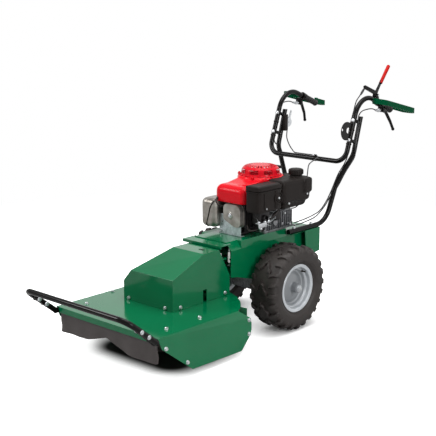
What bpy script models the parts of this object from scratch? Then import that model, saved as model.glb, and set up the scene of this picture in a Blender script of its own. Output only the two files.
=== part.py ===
"""Walk-behind brush cutter: a deck on two driven wheels, with an upright engine and a handle bar.

X is across (the operator's left is +X), forward is -Y and Z is up. Sizes are in millimetres from the
wheel axle in Y, and point() turns them into metres with the machine centred on the origin.
"""

import math

import bmesh
import bpy
from mathutils import Matrix, Vector

MM = 0.001
AXLE_Y = 99.0
GAP = 0.3

# Wheels and tubes
WHEEL_R = 211.6
WHEEL_X = 234.0
AXLE_R = 9.5
TUBE_R = 12.7
GRIP_R = 16.5
CABLE_R = 3.0

# Deck and its cover
SHEET = 3.0
DECK_TOP = 217.0
DECK_HALF = 331.0
DECK_SPLAY = 15.0
DECK_FOOT = DECK_HALF + DECK_SPLAY
FLANGE_HALF = DECK_HALF - 19
DECK_FOOT_Z = 33.0
DECK_FRONT = -978.0
DECK_CORNER = -475.0
SPINDLE_Y = -632.0
DECK_ARC_R = 365.0
PIVOT_Z = 270.0
HOOD_NEAR = 129.0
HOOD_FAR = -193.0
HOOD_TOP = 447.0
HOOD_FRONT = -688.0
BLADE_R = 305.0
BLADE_Z = 88.0
BLADE_THICK = 8.0

# Frame, engine and belts
FRAME_HALF = 131.0
FRAME_TOP = 462.0
FRAME_FRONT = -300.0
FRAME_REAR = 118.0
SHELF_TOP = 436.0
SHELF_HALF = 165.0
SHELF_REAR = 350.0
CRANK_Y = 68.0
BELT_Z = 340.0
TRACTION_Z = 308.0

# Handle
BAR_X = 247.0
TUBE_FOOT_X = 152.0

BLACK = (0.012, 0.011, 0.011)
ZINC = (0.52, 0.53, 0.54)

collections = {}
materials = {}


def point(x, y, z):
    """A place on the machine, in metres."""
    return Vector((x, y + AXLE_Y, z)) * MM


def start():
    for old in list(bpy.data.objects):
        bpy.data.objects.remove(old, do_unlink=True)
    for name in ("walk_behind_brush_cutter", "cutters"):
        made = bpy.data.collections.new(name)
        bpy.context.scene.collection.children.link(made)
        collections[name] = made


def material(name, colour, metallic=0.0, roughness=0.5):
    if name not in materials:
        made = bpy.data.materials.new(name)
        made.use_nodes = True
        shader = made.node_tree.nodes["Principled BSDF"]
        shader.inputs["Base Color"].default_value = (*colour, 1.0)
        shader.inputs["Metallic"].default_value = metallic
        shader.inputs["Roughness"].default_value = roughness
        materials[name] = made
    return materials[name]


def green():
    return material("green_powder_coat", (0.0, 0.165, 0.078), 0.0, 0.2)


def black_gloss():
    return material("black_powder_coat", BLACK, 0.0, 0.25)


def zinc():
    return material("zinc_plate", ZINC, 1.0, 0.35)


def plastic():
    return material("black_plastic", (0.018, 0.016, 0.015), 0.0, 0.55)


def rubber():
    return material("rubber", (0.022, 0.019, 0.017), 0.0, 0.8)


def steel():
    return material("bare_steel", (0.45, 0.44, 0.43), 1.0, 0.4)


def cast():
    return material("cast_aluminium", (0.42, 0.42, 0.42), 1.0, 0.5)


def link(obj, name, finish=None):
    """Names an object and puts it in the machine's collection, with its material."""
    obj.name = name
    for holder in list(obj.users_collection):
        holder.objects.unlink(obj)
    collections["walk_behind_brush_cutter"].objects.link(obj)
    if finish and obj.type in ("MESH", "CURVE"):
        obj.data.materials.clear()
        obj.data.materials.append(finish)
    return obj


def shade_round(obj, degrees=35.0):
    obj.data.shade_smooth()
    obj.data.set_sharp_from_angle(angle=math.radians(degrees))
    return obj


def from_bmesh(bm, name, finish):
    mesh = bpy.data.meshes.new(name)
    bmesh.ops.recalc_face_normals(bm, faces=bm.faces)
    bm.to_mesh(mesh)
    bm.free()
    return link(bpy.data.objects.new(name, mesh), name, finish)


def box(name, x, y, z, finish=None, bevel=0.0, segments=1, axis=None):
    """A block between two limits on each axis; axis limits its bevel to the edges along it."""
    lows = point(x[0], y[0], z[0])
    highs = point(x[1], y[1], z[1])
    bpy.ops.mesh.primitive_cube_add(size=1.0, location=(lows + highs) / 2)
    obj = bpy.context.object
    obj.data.transform(Matrix.Diagonal((*(highs - lows), 1.0)))
    link(obj, name, finish)
    if bevel:
        add_bevel(obj, bevel, segments, axis)
    return obj


def add_bevel(obj, width, segments=1, axis=None):
    modifier = obj.modifiers.new("Bevel", "BEVEL")
    modifier.width = width * MM
    modifier.segments = segments
    if axis is None:
        modifier.limit_method = "ANGLE"
        return modifier
    modifier.limit_method = "WEIGHT"
    weights = obj.data.attributes.new("bevel_weight_edge", "FLOAT", "EDGE")
    for edge in obj.data.edges:
        a, b = (obj.data.vertices[i].co for i in edge.vertices)
        along = (b - a).normalized()["xyz".index(axis)]
        weights.data[edge.index].value = float(abs(along) > 0.9)
    return modifier


def rod(name, a, b, radius, finish=None, sides=12, tip=None):
    """A cylinder from a to b, or a cone when tip is given."""
    a, b = point(*a), point(*b)
    along = b - a
    turn = Vector((0, 0, 1)).rotation_difference(along)
    bpy.ops.mesh.primitive_cone_add(
        vertices=sides,
        radius1=radius * MM,
        radius2=(radius if tip is None else tip) * MM,
        depth=along.length,
        location=(a + b) / 2,
        rotation=turn.to_euler(),
    )
    return shade_round(link(bpy.context.object, name, finish), 50)


def ball(name, at, radius, finish=None, segments=12):
    bpy.ops.mesh.primitive_uv_sphere_add(
        segments=segments, ring_count=segments // 2, radius=radius * MM, location=point(*at)
    )
    return shade_round(link(bpy.context.object, name, finish), 80)


def bolt(at, axis, radius=7.0, height=5.0):
    """A hexagon head that sits half its height inside the sheet at the place given."""
    at = Vector(at)
    axis = Vector(axis).normalized()
    return rod("bolt", at - axis * 1.5, at + axis * height, radius, sides=6)


def turned(name, profile, at, axis, finish=None, steps=20):
    """A profile of (radius, distance along the axis), turned about the axis through a place.

    The profile runs down its outer side first, from the axis's far end to its near end.
    """
    bm = bmesh.new()
    ring = [bm.verts.new((r * MM, 0.0, s * MM)) for r, s in profile]
    for a, b in zip(ring, ring[1:]):
        bm.edges.new((a, b))
    if profile[0][0] > 0 or profile[-1][0] > 0:
        bm.edges.new((ring[-1], ring[0]))
    mesh = bpy.data.meshes.new(name)
    bm.to_mesh(mesh)
    bm.free()
    obj = link(bpy.data.objects.new(name, mesh), name, finish)
    screw = obj.modifiers.new("Screw", "SCREW")
    screw.steps = screw.render_steps = steps
    screw.use_merge_vertices = True
    screw.merge_threshold = 0.00001
    screw.use_smooth_shade = False
    obj.location = point(*at)
    obj.rotation_euler = Vector((0, 0, 1)).rotation_difference(Vector(axis)).to_euler()
    return obj


def rounded(corners, radius, step=24.0):
    """The corners of a path with each inner one replaced by an arc of the radius, or of its own one."""
    corners = [Vector(c) for c in corners]
    radii = radius if isinstance(radius, (list, tuple)) else [radius] * (len(corners) - 2)
    path = [corners[0]]
    for before, at, after, r in zip(corners, corners[1:], corners[2:], radii):
        u = (before - at).normalized()
        v = (after - at).normalized()
        half = u.angle(v) / 2
        turn = math.pi - 2 * half
        if r <= 0 or turn < 0.02:
            path.append(at)
            continue
        reach = r / math.tan(half)
        centre = at + (u + v).normalized() * r / math.sin(half)
        first = at + u * reach - centre
        axis = first.cross(at + v * reach - centre).normalized()
        count = max(2, round(math.degrees(turn) / step))
        for k in range(count + 1):
            path.append(centre + Matrix.Rotation(turn * k / count, 3, axis) @ first)
    path.append(corners[-1])
    return path


def tube(name, path, radius, finish=None, resolution=3):
    """A round bar along a path, as a mesh with its end caps welded on."""
    curve = bpy.data.curves.new(name, "CURVE")
    curve.dimensions = "3D"
    curve.bevel_depth = radius * MM
    curve.bevel_resolution = resolution
    curve.use_fill_caps = True
    run = curve.splines.new("POLY")
    run.points.add(len(path) - 1)
    for place, at in zip(run.points, path):
        place.co = (*point(*at), 1.0)
    return shade_round(mesh_of(curve, name, finish), 50)


def mesh_of(curve, name, finish, matrix=None):
    guide = bpy.data.objects.new(name + "_guide", curve)
    collections["cutters"].objects.link(guide)
    if matrix is not None:
        guide.matrix_world = matrix
    bpy.context.view_layer.update()
    graph = bpy.context.evaluated_depsgraph_get()
    mesh = bpy.data.meshes.new_from_object(guide.evaluated_get(graph))
    bm = bmesh.new()
    bm.from_mesh(mesh)
    bmesh.ops.remove_doubles(bm, verts=bm.verts, dist=0.00001)
    bm.to_mesh(mesh)
    bm.free()
    obj = bpy.data.objects.new(name, mesh)
    obj.matrix_world = guide.matrix_world
    bpy.data.objects.remove(guide, do_unlink=True)
    return link(obj, name, finish)


PLANES = {
    "XY": (Vector((1, 0, 0)), Vector((0, 1, 0)), Vector((0, 0, 1))),
    "YZ": (Vector((0, 1, 0)), Vector((0, 0, 1)), Vector((1, 0, 0))),
    "XZ": (Vector((1, 0, 0)), Vector((0, 0, 1)), Vector((0, -1, 0))),
}


def plate(name, outline, plane, middle, thickness, finish=None, corner=0.0, lean=0.0):
    """A flat outline in one of the three planes, at its middle's distance along the third axis."""
    if corner:
        closed = [Vector((*p, 0.0)) for p in outline]
        half = (closed[-1] + closed[0]) / 2
        flat = rounded([half, *closed, half], corner)[:-1]
    else:
        flat = [Vector((*p, 0.0)) for p in outline]
    curve = bpy.data.curves.new(name, "CURVE")
    curve.dimensions = "2D"
    curve.fill_mode = "BOTH"
    curve.extrude = thickness / 2 * MM
    run = curve.splines.new("POLY")
    run.points.add(len(flat) - 1)
    for place, at in zip(run.points, flat):
        place.co = (at.x * MM, at.y * MM, 0.0, 1.0)
    run.use_cyclic_u = True
    across, up, out = PLANES[plane]
    matrix = Matrix((across, up, out)).transposed().to_4x4()
    matrix.translation = out * (middle * MM if plane != "XZ" else -middle * MM)
    matrix.translation += Vector((0, AXLE_Y * MM, 0))
    if lean:
        matrix = matrix @ Matrix.Rotation(lean, 4, "X")
    return mesh_of(curve, name, finish, matrix)


def to_cutters(obj):
    for holder in list(obj.users_collection):
        holder.objects.unlink(obj)
    collections["cutters"].objects.link(obj)
    obj.hide_render = True
    obj.display_type = "WIRE"


def combine(obj, others, operation):
    for number, other in enumerate(others):
        other.name = f"{obj.name}_{operation.lower()}_{len(obj.modifiers)}_{number}"
        to_cutters(other)
        modifier = obj.modifiers.new(operation.title(), "BOOLEAN")
        modifier.operation = operation
        modifier.object = other
        modifier.solver = "EXACT"
    return obj


def join(obj, *others):
    return combine(obj, others, "UNION")


def cut(obj, *others):
    return combine(obj, others, "DIFFERENCE")


def merged(name, pieces):
    """Several pieces that don't touch, as one mesh for a single cut or union."""
    bpy.context.view_layer.update()
    bm = bmesh.new()
    for piece in pieces:
        mesh = piece.data.copy()
        mesh.transform(piece.matrix_world)
        bm.from_mesh(mesh)
        bpy.data.meshes.remove(mesh)
        bpy.data.objects.remove(piece, do_unlink=True)
    return from_bmesh(bm, name, None)


def ring_of(pieces, count, x, y):
    """The pieces that a function makes, once for each equal turn about an upright axis."""
    centre = Matrix.Translation(point(x, y, 0))
    made = []
    for k in range(count):
        turn = centre @ Matrix.Rotation(math.tau * k / count, 4, "Z") @ centre.inverted()
        for piece in pieces():
            piece.matrix_world = turn @ Matrix.Translation(piece.location)
            made.append(piece)
    return made


def sheet(name, faces, thickness, finish, outward):
    """A folded sheet: flat faces given by their corners, thickened away from the outward side."""
    bm = bmesh.new()
    places = {}
    for corners in faces:
        ring = []
        for corner in corners:
            key = tuple(round(v, 2) for v in corner)
            if key not in places:
                places[key] = bm.verts.new(point(*corner))
            ring.append(places[key])
        bm.faces.new(ring)
    bmesh.ops.recalc_face_normals(bm, faces=bm.faces)
    bm.faces.ensure_lookup_table()
    if bm.faces[0].normal.dot(Vector(outward)) < 0:
        bmesh.ops.reverse_faces(bm, faces=bm.faces)
    mesh = bpy.data.meshes.new(name)
    bm.to_mesh(mesh)
    bm.free()
    obj = link(bpy.data.objects.new(name, mesh), name, finish)
    solidify = obj.modifiers.new("Sheet", "SOLIDIFY")
    solidify.solidify_mode = "NON_MANIFOLD"
    solidify.nonmanifold_thickness_mode = "CONSTRAINTS"
    solidify.thickness = thickness * MM
    solidify.offset = -1.0
    return obj


def body(name, at, members=(), parent=None):
    """An empty on a joint's axis, which carries the pieces that turn or slide with it."""
    empty = bpy.data.objects.new(name, None)
    empty.empty_display_size = 0.05
    collections["walk_behind_brush_cutter"].objects.link(empty)
    empty.location = point(*at)
    if parent:
        hold(parent, empty)
    for member in members:
        hold(empty, member)
    return empty


def hold(parent, child):
    bpy.context.view_layer.update()
    child.parent = parent
    child.matrix_parent_inverse = parent.matrix_world.inverted()


# Wheels: a lugged tyre on a pressed rim, on its own half of the axle
WHEEL_STEPS = 20
LUGS = 10
LUG_LONG = 74.0
LUG_WIDE = 25.0
LUG_TOP = 209.4
LUG_TILT = math.radians(32)


def tyre(name, side):
    section = [
        (105.0, 59.0), (119.0, 60.0), (142.0, 79.0), (172.0, 81.0), (199.0, 62.0), (199.0, -62.0),
        (172.0, -81.0), (142.0, -79.0), (119.0, -60.0), (105.0, -59.0), (105.0, -48.0), (165.0, -66.0),
        (165.0, 66.0), (105.0, 48.0),
    ]
    centre = (side * WHEEL_X, 0, WHEEL_R)
    made = turned(name, section, centre, (side, 0, 0), rubber(), steps=WHEEL_STEPS)
    lugs = []
    for number in range(LUGS):
        for row in (-1, 1):
            bpy.ops.mesh.primitive_cube_add(size=1.0)
            lug = bpy.context.object
            lug.data.transform(Matrix.Diagonal((LUG_LONG * MM, LUG_WIDE * MM, 20 * MM, 1.0)))
            round_wheel = Matrix.Rotation(math.tau * (number + 0.25 * row) / LUGS, 4, "X")
            outwards = Matrix.Translation(Vector((row * 42.0, 0, LUG_TOP - 10)) * MM)
            lug.matrix_world = (
                Matrix.Translation(point(*centre)) @ round_wheel @ outwards
                @ Matrix.Rotation(row * LUG_TILT, 4, "Z")
            )
            lugs.append(lug)
    return join(made, merged(name + "_lugs", lugs))


def rim(name, side):
    section = [
        (119.0, 64.3), (119.0, 60.3), (104.7, 60.3), (104.7, -60.3), (119.0, -60.3), (119.0, -64.3),
        (101.5, -64.3), (101.5, 14.0), (24.0, 28.0), (10.0, 28.0), (10.0, 72.0), (24.0, 72.0), (24.0, 36.0),
        (101.5, 22.0), (101.5, 64.3),
    ]
    finish = material("rim_paint", (0.49, 0.52, 0.54), 0.3, 0.4)
    return turned(name, section, (side * WHEEL_X, 0, WHEEL_R), (side, 0, 0), finish, steps=WHEEL_STEPS)


def axle_shaft(name, side):
    made = rod(name, (side * 90, 0, WHEEL_R), (side * 309, 0, WHEEL_R), AXLE_R, steel())
    nut = rod("nut", (side * 306.4, 0, WHEEL_R), (side * 317, 0, WHEEL_R), 16, sides=6)
    return join(made, nut)


WHEEL_PIECES = {"tyre": tyre, "rim": rim, "axle_shaft": axle_shaft}


def wheels():
    for name, side in (("L", 1), ("R", -1)):
        members = [make(f"{kind}_{name}", side) for kind, make in WHEEL_PIECES.items()]
        body(f"wheel_axis_{name}", (side * WHEEL_X, 0, WHEEL_R), members)


def rectangle(left, right, front, rear):
    return [(left, front), (right, front), (right, rear), (left, rear)]


# Frame: a folded sheet box, open below, with a lip over the rear edge of the deck's cover
def main_frame():
    half, top, shoulder = FRAME_HALF, FRAME_TOP, FRAME_HALF - 30
    front, rear = FRAME_FRONT, FRAME_REAR
    low = [(front, 296.0), (-250.0, 288.0), (-140.0, 255.0), (rear, 255.0)]
    faces = []
    for x, inner in ((half, shoulder), (-half, -shoulder)):
        crease = top - 38
        wall = [(x, y, z) for y, z in low] + [(x, rear, crease), (x, front, crease)]
        bevelled = [(x, front, crease), (x, rear, crease), (inner, rear, top), (inner, front, top)]
        faces += [wall, bevelled]
    faces.append([(x, y, top) for x, y in rectangle(-shoulder, shoulder, front, rear)])
    made = sheet("main_frame", faces, SHEET, green(), (1, 0, 0))
    lip = box("lip", (-122, 126), (-366, front + 8), (top - 7, top - 4))
    hem = box("hem", (-122, 126), (-366, -363), (top - 18, top - 5))
    end_wall = box("end", (-half + 1, half - 1), (rear - SHEET, rear - 0.5), (262, top - 40))
    guide = box("guide", (66, 100), (-344, front + 12), (380, 388))
    bridge = box("bridge", (90, half - 1), (front, front + 12), (380, 388))
    post = rod("post", (*IDLER_PIVOT, 350), (*IDLER_PIVOT, top - 1), 6)
    nut = rod("nut", (*IDLER_PIVOT, 348), (*IDLER_PIVOT, 355), 11, sides=6)
    join(made, lip, hem, end_wall, guide, bridge, post, nut, *pivot_sleeve())
    pivot_bore = rod("bore", (0, -300, PIVOT_Z), (0, -180, PIVOT_Z), 16, sides=16)
    crank_hole = rod("hole", (0, CRANK_Y, top - 20), (0, CRANK_Y, top + 20), 22)
    pin_hole = rod("hole", (LOCK_X, LOCK_Y, 370), (LOCK_X, LOCK_Y, 400), 7, sides=12)
    return cut(made, crank_hole, pin_hole, pivot_bore)


def rear_shelf():
    top, half, rear, front = SHELF_TOP, SHELF_HALF, SHELF_REAR, FRAME_REAR + GAP
    notch = 226.0
    low = 312
    top_outline = [(-half, front), (half, front), (half, notch), (half, rear), (-half, rear), (-half, notch)]
    faces = [[(x, y, top) for x, y in top_outline]]
    for x in (half, -half):
        faces.append([(x, notch, top), (x, rear, top), (x, rear, low), (x, notch + 14, low - 12)])
    faces.append([(x, rear, z) for x, z in rectangle(-half, half, top, low)])
    made = sheet("rear_shelf", faces, SHEET, green(), (0, 0, 1))
    inner = FRAME_HALF - 2
    rails = [
        box("rail", sorted((s * inner, s * (inner - SHEET))), (front, rear - 1), (low - 12, top - 1))
        for s in (1, -1)
    ]
    return join(made, *rails)


def transaxle():
    made = box("transaxle", (-84, 84), (-58, 62), (165, 283), cast(), bevel=10)
    arms = [rod("arm", (s * 70, 0, WHEEL_R), (s * 146, 0, WHEEL_R), 22) for s in (1, -1)]
    beam_half = FRAME_HALF - SHEET - GAP
    beam = box("beam", (-beam_half, beam_half), (22, 52), (262, 276))
    boss = rod("boss", (0, TRACTION_Y, 270), (0, TRACTION_Y, 292), 20)
    join(made, *arms, beam, boss)
    bores = [rod("bore", (s * 86, 0, WHEEL_R), (s * 160, 0, WHEEL_R), AXLE_R + 0.8) for s in (1, -1)]
    return cut(made, *bores, rod("bore", (0, TRACTION_Y, 276), (0, TRACTION_Y, 300), TRACTION_BORE))


# Roll pivot: a cross plate with a sleeve welded in the frame's front, and a shaft on the deck's bracket
def pivot_sleeve():
    half = FRAME_HALF - 1
    made = box("cross_plate", (-half, half), (-246, -240), (292, 326))
    web = box("web", (-60, 60), (-246, -240), (246, 300))
    sleeve = rod("sleeve", (0, -292, PIVOT_Z), (0, -196, PIVOT_Z), 23, sides=16)
    return made, web, sleeve


def pivot_bracket():
    foot = DECK_TOP + GAP
    made = box("pivot_bracket", (-62, 62), (-334, -326), (foot, 300), green())
    base = box("base", (-62, 108), (-352, -300), (foot, foot + 6))
    shaft = rod("shaft", (0, -330, PIVOT_Z), (0, -184, PIVOT_Z), 15.4, sides=16)
    washer = rod("washer", (0, -195.4, PIVOT_Z), (0, -189, PIVOT_Z), 24, sides=16)
    return join(made, base, shaft, washer)


LOCK_X = 88.0
LOCK_Y = -326.0


def lock_pin():
    made = rod("lock_pin", (LOCK_X, LOCK_Y, 300), (LOCK_X, LOCK_Y, 412), 6, zinc(), sides=12)
    collar = rod("collar", (LOCK_X, LOCK_Y, 388.3), (LOCK_X, LOCK_Y, 394), 11, sides=12)
    join(made, collar)
    body("lock_axis", (LOCK_X, LOCK_Y, 388), [made])


# Belt drive
TRACTION_Y = -60.0
CRANK_R = 12.4
CRANK_PULLEY_R = 42.0
CRANK_LOWER_R = 32.0
TRACTION_R = 55.0
TRACTION_BORE = 8.6
SPINDLE_PULLEY_R = 50.0
IDLER_PIVOT = (20.0, -92.0)
IDLER_AT = (91.0, -130.0)
IDLER_R = 22.0


def groove(z, r, depth=7.0):
    """A V groove's points down a pulley's rim at a height."""
    return [(r, z + 9), (r - depth, z + 5.5), (r - depth, z - 5.5), (r, z - 9)]


def crank_pulley():
    profile = [
        (0, 640), (CRANK_R, 640), (CRANK_R, BELT_Z + 9), *groove(BELT_Z, CRANK_PULLEY_R), (14, BELT_Z - 9),
        (14, TRACTION_Z + 9), *groove(TRACTION_Z, CRANK_LOWER_R), (0, TRACTION_Z - 9),
    ]
    return turned("crank_pulley", profile, (0, CRANK_Y, 0), (0, 0, 1), steel(), steps=14)


def traction_pulley():
    shaft = TRACTION_BORE - 0.6
    profile = [
        (0, TRACTION_Z + 9), *groove(TRACTION_Z, TRACTION_R), (shaft, TRACTION_Z - 9), (shaft, 278), (0, 278),
    ]
    made = turned("traction_pulley", profile, (0, TRACTION_Y, 0), (0, 0, 1), steel(), steps=14)
    body("traction_axis", (0, TRACTION_Y, TRACTION_Z), [made])


def loop(y1, r1, y2, r2, count=8):
    """The outline of a belt round two pulleys on the centre line."""
    lean = math.asin((r2 - r1) / (y1 - y2))
    outline = []
    for y, r, first, last in ((y1, r1, lean, math.pi - lean), (y2, r2, math.pi - lean, math.tau + lean)):
        for k in range(count + 1):
            angle = first + (last - first) * k / count
            outline.append((r * math.cos(angle), y + r * math.sin(angle)))
    return outline


def belt(name, z, y1, r1, y2, r2):
    made = plate(name, loop(y1, r1 + 2, y2, r2 + 2), "XY", z, 9.0, rubber())
    return cut(made, plate("inside", loop(y1, r1 - 5.5, y2, r2 - 5.5), "XY", z, 20.0))


def idler():
    reach = Vector(IDLER_AT) - Vector(IDLER_PIVOT)
    arm = plate("idler_arm", loop(reach.length, 12, 0, 14, 5), "XY", 360, 4.0, zinc())
    arm.data.transform(Matrix.Rotation(math.pi + math.atan2(reach.x, -reach.y), 4, "Z"))
    arm.location = point(*IDLER_PIVOT, 360)
    pin = rod("pin", (*IDLER_AT, 328), (*IDLER_AT, 361), 5, sides=12)
    nut = rod("nut", (*IDLER_AT, 324), (*IDLER_AT, 331.5), 9, sides=6)
    join(arm, pin, nut)
    cut(arm, rod("bore", (*IDLER_PIVOT, 350), (*IDLER_PIVOT, 370), 6.6, sides=12))
    rim_r, bore_r = IDLER_R + 3, 5.6
    section = [(rim_r, 348), (IDLER_R, 346), (IDLER_R, 334), (rim_r, 332), (bore_r, 332), (bore_r, 348)]
    pulley = turned("idler_pulley", section, (*IDLER_AT, 0), (0, 0, 1), steel(), steps=14)
    arm_axis = body("idler_axis", (*IDLER_PIVOT, 360), [arm])
    body("idler_pulley_axis", (*IDLER_AT, BELT_Z), [pulley], arm_axis)


# Deck: one folded sheet with flared sides, an arc-shaped rear edge and a short front flange
def deck_arc(radius, x_end, count):
    """Points of the arc behind the spindle, from +X to -X."""
    first = math.asin(x_end / radius)
    return [
        (radius * math.sin(angle), SPINDLE_Y + radius * math.cos(angle))
        for angle in (first - 2 * first * k / count for k in range(count + 1))
    ]


def flare(z):
    """How far out the side panels stand at a height."""
    return DECK_HALF + (DECK_FOOT - DECK_HALF) * (DECK_TOP - z) / (DECK_TOP - DECK_FOOT_Z)


SIDE_BOLTS = ((-937, 164), (-817, 73), (-406, 159), (-412, 95))
DECK_BOLTS = (
    (DECK_HALF - 64, -659), (DECK_HALF - 64, -865), (78 - DECK_HALF, -865), (21 - DECK_HALF, -655),
)


def deck_shell():
    top = DECK_TOP
    arc = deck_arc(DECK_ARC_R, DECK_HALF - 9, 12)
    outline = [
        (DECK_HALF, DECK_FRONT), (DECK_HALF, DECK_CORNER), *arc, (-DECK_HALF, DECK_CORNER),
        (-DECK_HALF, DECK_FRONT), (-FLANGE_HALF, DECK_FRONT), (FLANGE_HALF, DECK_FRONT),
    ]
    faces = [[(x, y, top) for x, y in outline]]
    side = [
        (DECK_FRONT, top), (-958, 165), (-786, DECK_FOOT_Z + 1), (-468, DECK_FOOT_Z - 4), (-410, 80),
        (-392, 110), (-389, 140), (-394, 166), (DECK_CORNER, top),
    ]
    for s in (1, -1):
        faces.append([(s * flare(z), y, z) for y, z in side])
    faces.append([(x, DECK_FRONT, z) for x, z in rectangle(-FLANGE_HALF, FLANGE_HALF, top, 190)])
    made = sheet("deck_shell", faces, SHEET, green(), (0, 0, 1))
    bolts = [bolt((s * flare(z), y, z), (s, 0, 0.08)) for s in (1, -1) for y, z in SIDE_BOLTS]
    bolts += [bolt((x, y, top), (0, 0, 1)) for x, y in DECK_BOLTS]
    join(made, merged("deck_bolts", bolts))
    return cut(made, rod("hole", (0, SPINDLE_Y, 200), (0, SPINDLE_Y, 230), 40, sides=20))


def rear_skirt():
    """A band under the arc of the deck's rear edge, with its ends bolted to the side panels' tabs."""
    arc = deck_arc(DECK_ARC_R - SHEET - 1, DECK_HALF - 43, 12)
    outline = [(DECK_HALF - 5, -408), *arc, (5 - DECK_HALF, -408)]
    high, low = DECK_TOP - SHEET - GAP, 96
    faces = [[(*a, high), (*b, high), (*b, low), (*a, low)] for a, b in zip(outline, outline[1:])]
    return sheet("rear_skirt", faces, SHEET, green(), (0, 1, 0))


def belt_cover():
    """The cover over the spindle pulley: a box cut by its slopes, then opened below and behind."""
    foot, near, far, top, front = DECK_TOP + GAP, HOOD_NEAR, HOOD_FAR, HOOD_TOP, HOOD_FRONT
    low, high = point(far, front, foot), point(near, -306, top)
    bm = bmesh.new()
    bmesh.ops.create_cube(bm, size=1.0)
    bmesh.ops.scale(bm, vec=high - low, verts=bm.verts)
    bmesh.ops.translate(bm, vec=(low + high) / 2, verts=bm.verts)
    slopes = (
        ((0, front, 363), (0, -84, 203)),
        ((far, 0, 305), (-57, 0, 50)),
        ((0, -381, top), (0, 131, 72)),
    )
    for at, normal in slopes:
        everything = [*bm.verts, *bm.edges, *bm.faces]
        found = bmesh.ops.bisect_plane(
            bm, geom=everything, plane_co=point(*at), plane_no=Vector(normal).normalized(), clear_outer=True
        )
        rim_edges = [e for e in found["geom_cut"] if isinstance(e, bmesh.types.BMEdge)]
        bmesh.ops.holes_fill(bm, edges=rim_edges)
    bmesh.ops.recalc_face_normals(bm, faces=bm.faces)
    opened = [f for f in bm.faces if f.normal.z < -0.9 or (f.normal.y > 0.3)]
    bmesh.ops.delete(bm, geom=opened, context="FACES")
    made = from_bmesh(bm, "belt_cover", green())
    solidify = made.modifiers.new("Sheet", "SOLIDIFY")
    solidify.thickness = 2.0 * MM
    solidify.offset = -1.0
    solidify.use_even_offset = True
    heads = [
        bolt((80, front, 227), (0, -1, 0)), bolt((-159, front, 227), (0, -1, 0)),
        bolt((near, -340, 231), (1, 0, 0)), bolt((far, -340, 231), (-1, 0, 0)),
        bolt((near, -640, 229), (1, 0, 0)), bolt((far, -640, 229), (-1, 0, 0)),
    ]
    join(made, merged("cover_bolts", heads))
    slot = plate("slot", [(-490, 210), (-466, 210), (-466, 276), (-490, 276)], "YZ", near, 30)
    lift = box("lift", (52, 78), (-436, -428), (top - 10, top + 10))
    return cut(made, slot, lift)


def spindle_housing():
    foot = DECK_TOP + GAP
    section = [
        (28, 322), (28, 240), (52, foot + 8), (52, foot), (38, foot), (36, 150), (28, 112), (13.6, 112),
        (13.6, 322),
    ]
    return turned("spindle_housing", section, (0, SPINDLE_Y, 0), (0, 0, 1), cast(), steps=16)


def blade_group():
    shaft, hub, seat = 12.5, 36, BLADE_Z + BLADE_THICK / 2 + GAP
    profile = [
        (0, 358), (shaft, 358), (shaft, BELT_Z + 9), *groove(BELT_Z, SPINDLE_PULLEY_R), (shaft, BELT_Z - 9),
        (shaft, 106), (hub, 104), (hub, seat), (0, seat),
    ]
    pulley = turned("spindle_pulley", profile, (0, SPINDLE_Y, 0), (0, 0, 1), steel(), steps=14)
    r, w = BLADE_R, 45.0
    half = [(8 - r, -w), (r / 2, -w), (r - 20, 14 - w), (r, w - 10)]
    outline = [(s * x, SPINDLE_Y + s * y) for s in (1, -1) for x, y in half]
    blade = plate("blade", outline, "XY", BLADE_Z, BLADE_THICK, steel())
    top = BLADE_Z - BLADE_THICK / 2 - GAP
    dish = [
        (0, top), (34, top), (34, 14), (60, 13), (104, 30), (136, 56), (147, 80), (152, 79), (141, 53),
        (107, 25), (61, 7), (25, 1), (0, 0),
    ]
    skid = turned("skid_dish", dish, (0, SPINDLE_Y, 0), (0, 0, 1), steel(), steps=16)
    return pulley, blade, skid


BAR_OUT = DECK_HALF + 4
BAR_FRONT = -1150.0
BAR_TOP = 333.0
BAR_BOLTS = ((-1083, 276), (-1043, 245))


def brush_bar():
    foot = (-988, 203)
    side = [(BAR_OUT, *foot), (BAR_OUT, BAR_FRONT, BAR_TOP)]
    corners = side + [(-x, y, z) for x, y, z in reversed(side)]
    made = tube("brush_bar", rounded(corners, 55), TUBE_R, black_gloss())
    under = DECK_TOP - SHEET - 0.5
    strip = [(-1104, 304), (-1112, 292), (-996, 189), (-930, 189), (-930, under), (-987, under)]
    inner = BAR_OUT - TUBE_R
    straps, heads = [], []
    for s in (1, -1):
        ends = sorted((s * (inner - 5), s * (inner + 2)))
        straps.append(plate("strap", strip, "YZ", sum(ends) / 2, ends[1] - ends[0]))
        heads += [bolt((s * (BAR_OUT + TUBE_R - 1), y, z), (s, 0, 0), 8, 6) for y, z in BAR_BOLTS]
    return join(made, merged("straps", straps), merged("heads", heads))


FLAP_Y = -964.0
FLAP_Z = 194.0


def front_flap():
    finish = material("flap_rubber", (0.045, 0.036, 0.033), 0.0, 0.7)
    half = FLANGE_HALF
    outline = [(-half, 192), (-half, 96), (-126, 104), (-5, 139), (133, 97), (half - 6, 94), (half, 192)]
    made = plate("front_flap", outline, "XZ", FLAP_Y - 3, 6.0, finish)
    hem = rod("hem", (1 - half, FLAP_Y, FLAP_Z), (half - 1, FLAP_Y, FLAP_Z), 9, sides=12)
    join(made, hem)
    cut(made, rod("bore", (-half - 9, FLAP_Y, FLAP_Z), (half + 9, FLAP_Y, FLAP_Z), 5.6, sides=12))
    return body("flap_axis", (0, FLAP_Y, FLAP_Z), [made])


def flap_rod():
    """The rod of the front flap, with its ends in the side panels' inner faces."""
    reach = BAR_OUT - TUBE_R - 5 - GAP
    return rod("flap_rod", (-reach, FLAP_Y, FLAP_Z), (reach, FLAP_Y, FLAP_Z), 5, steel(), sides=12)


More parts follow.
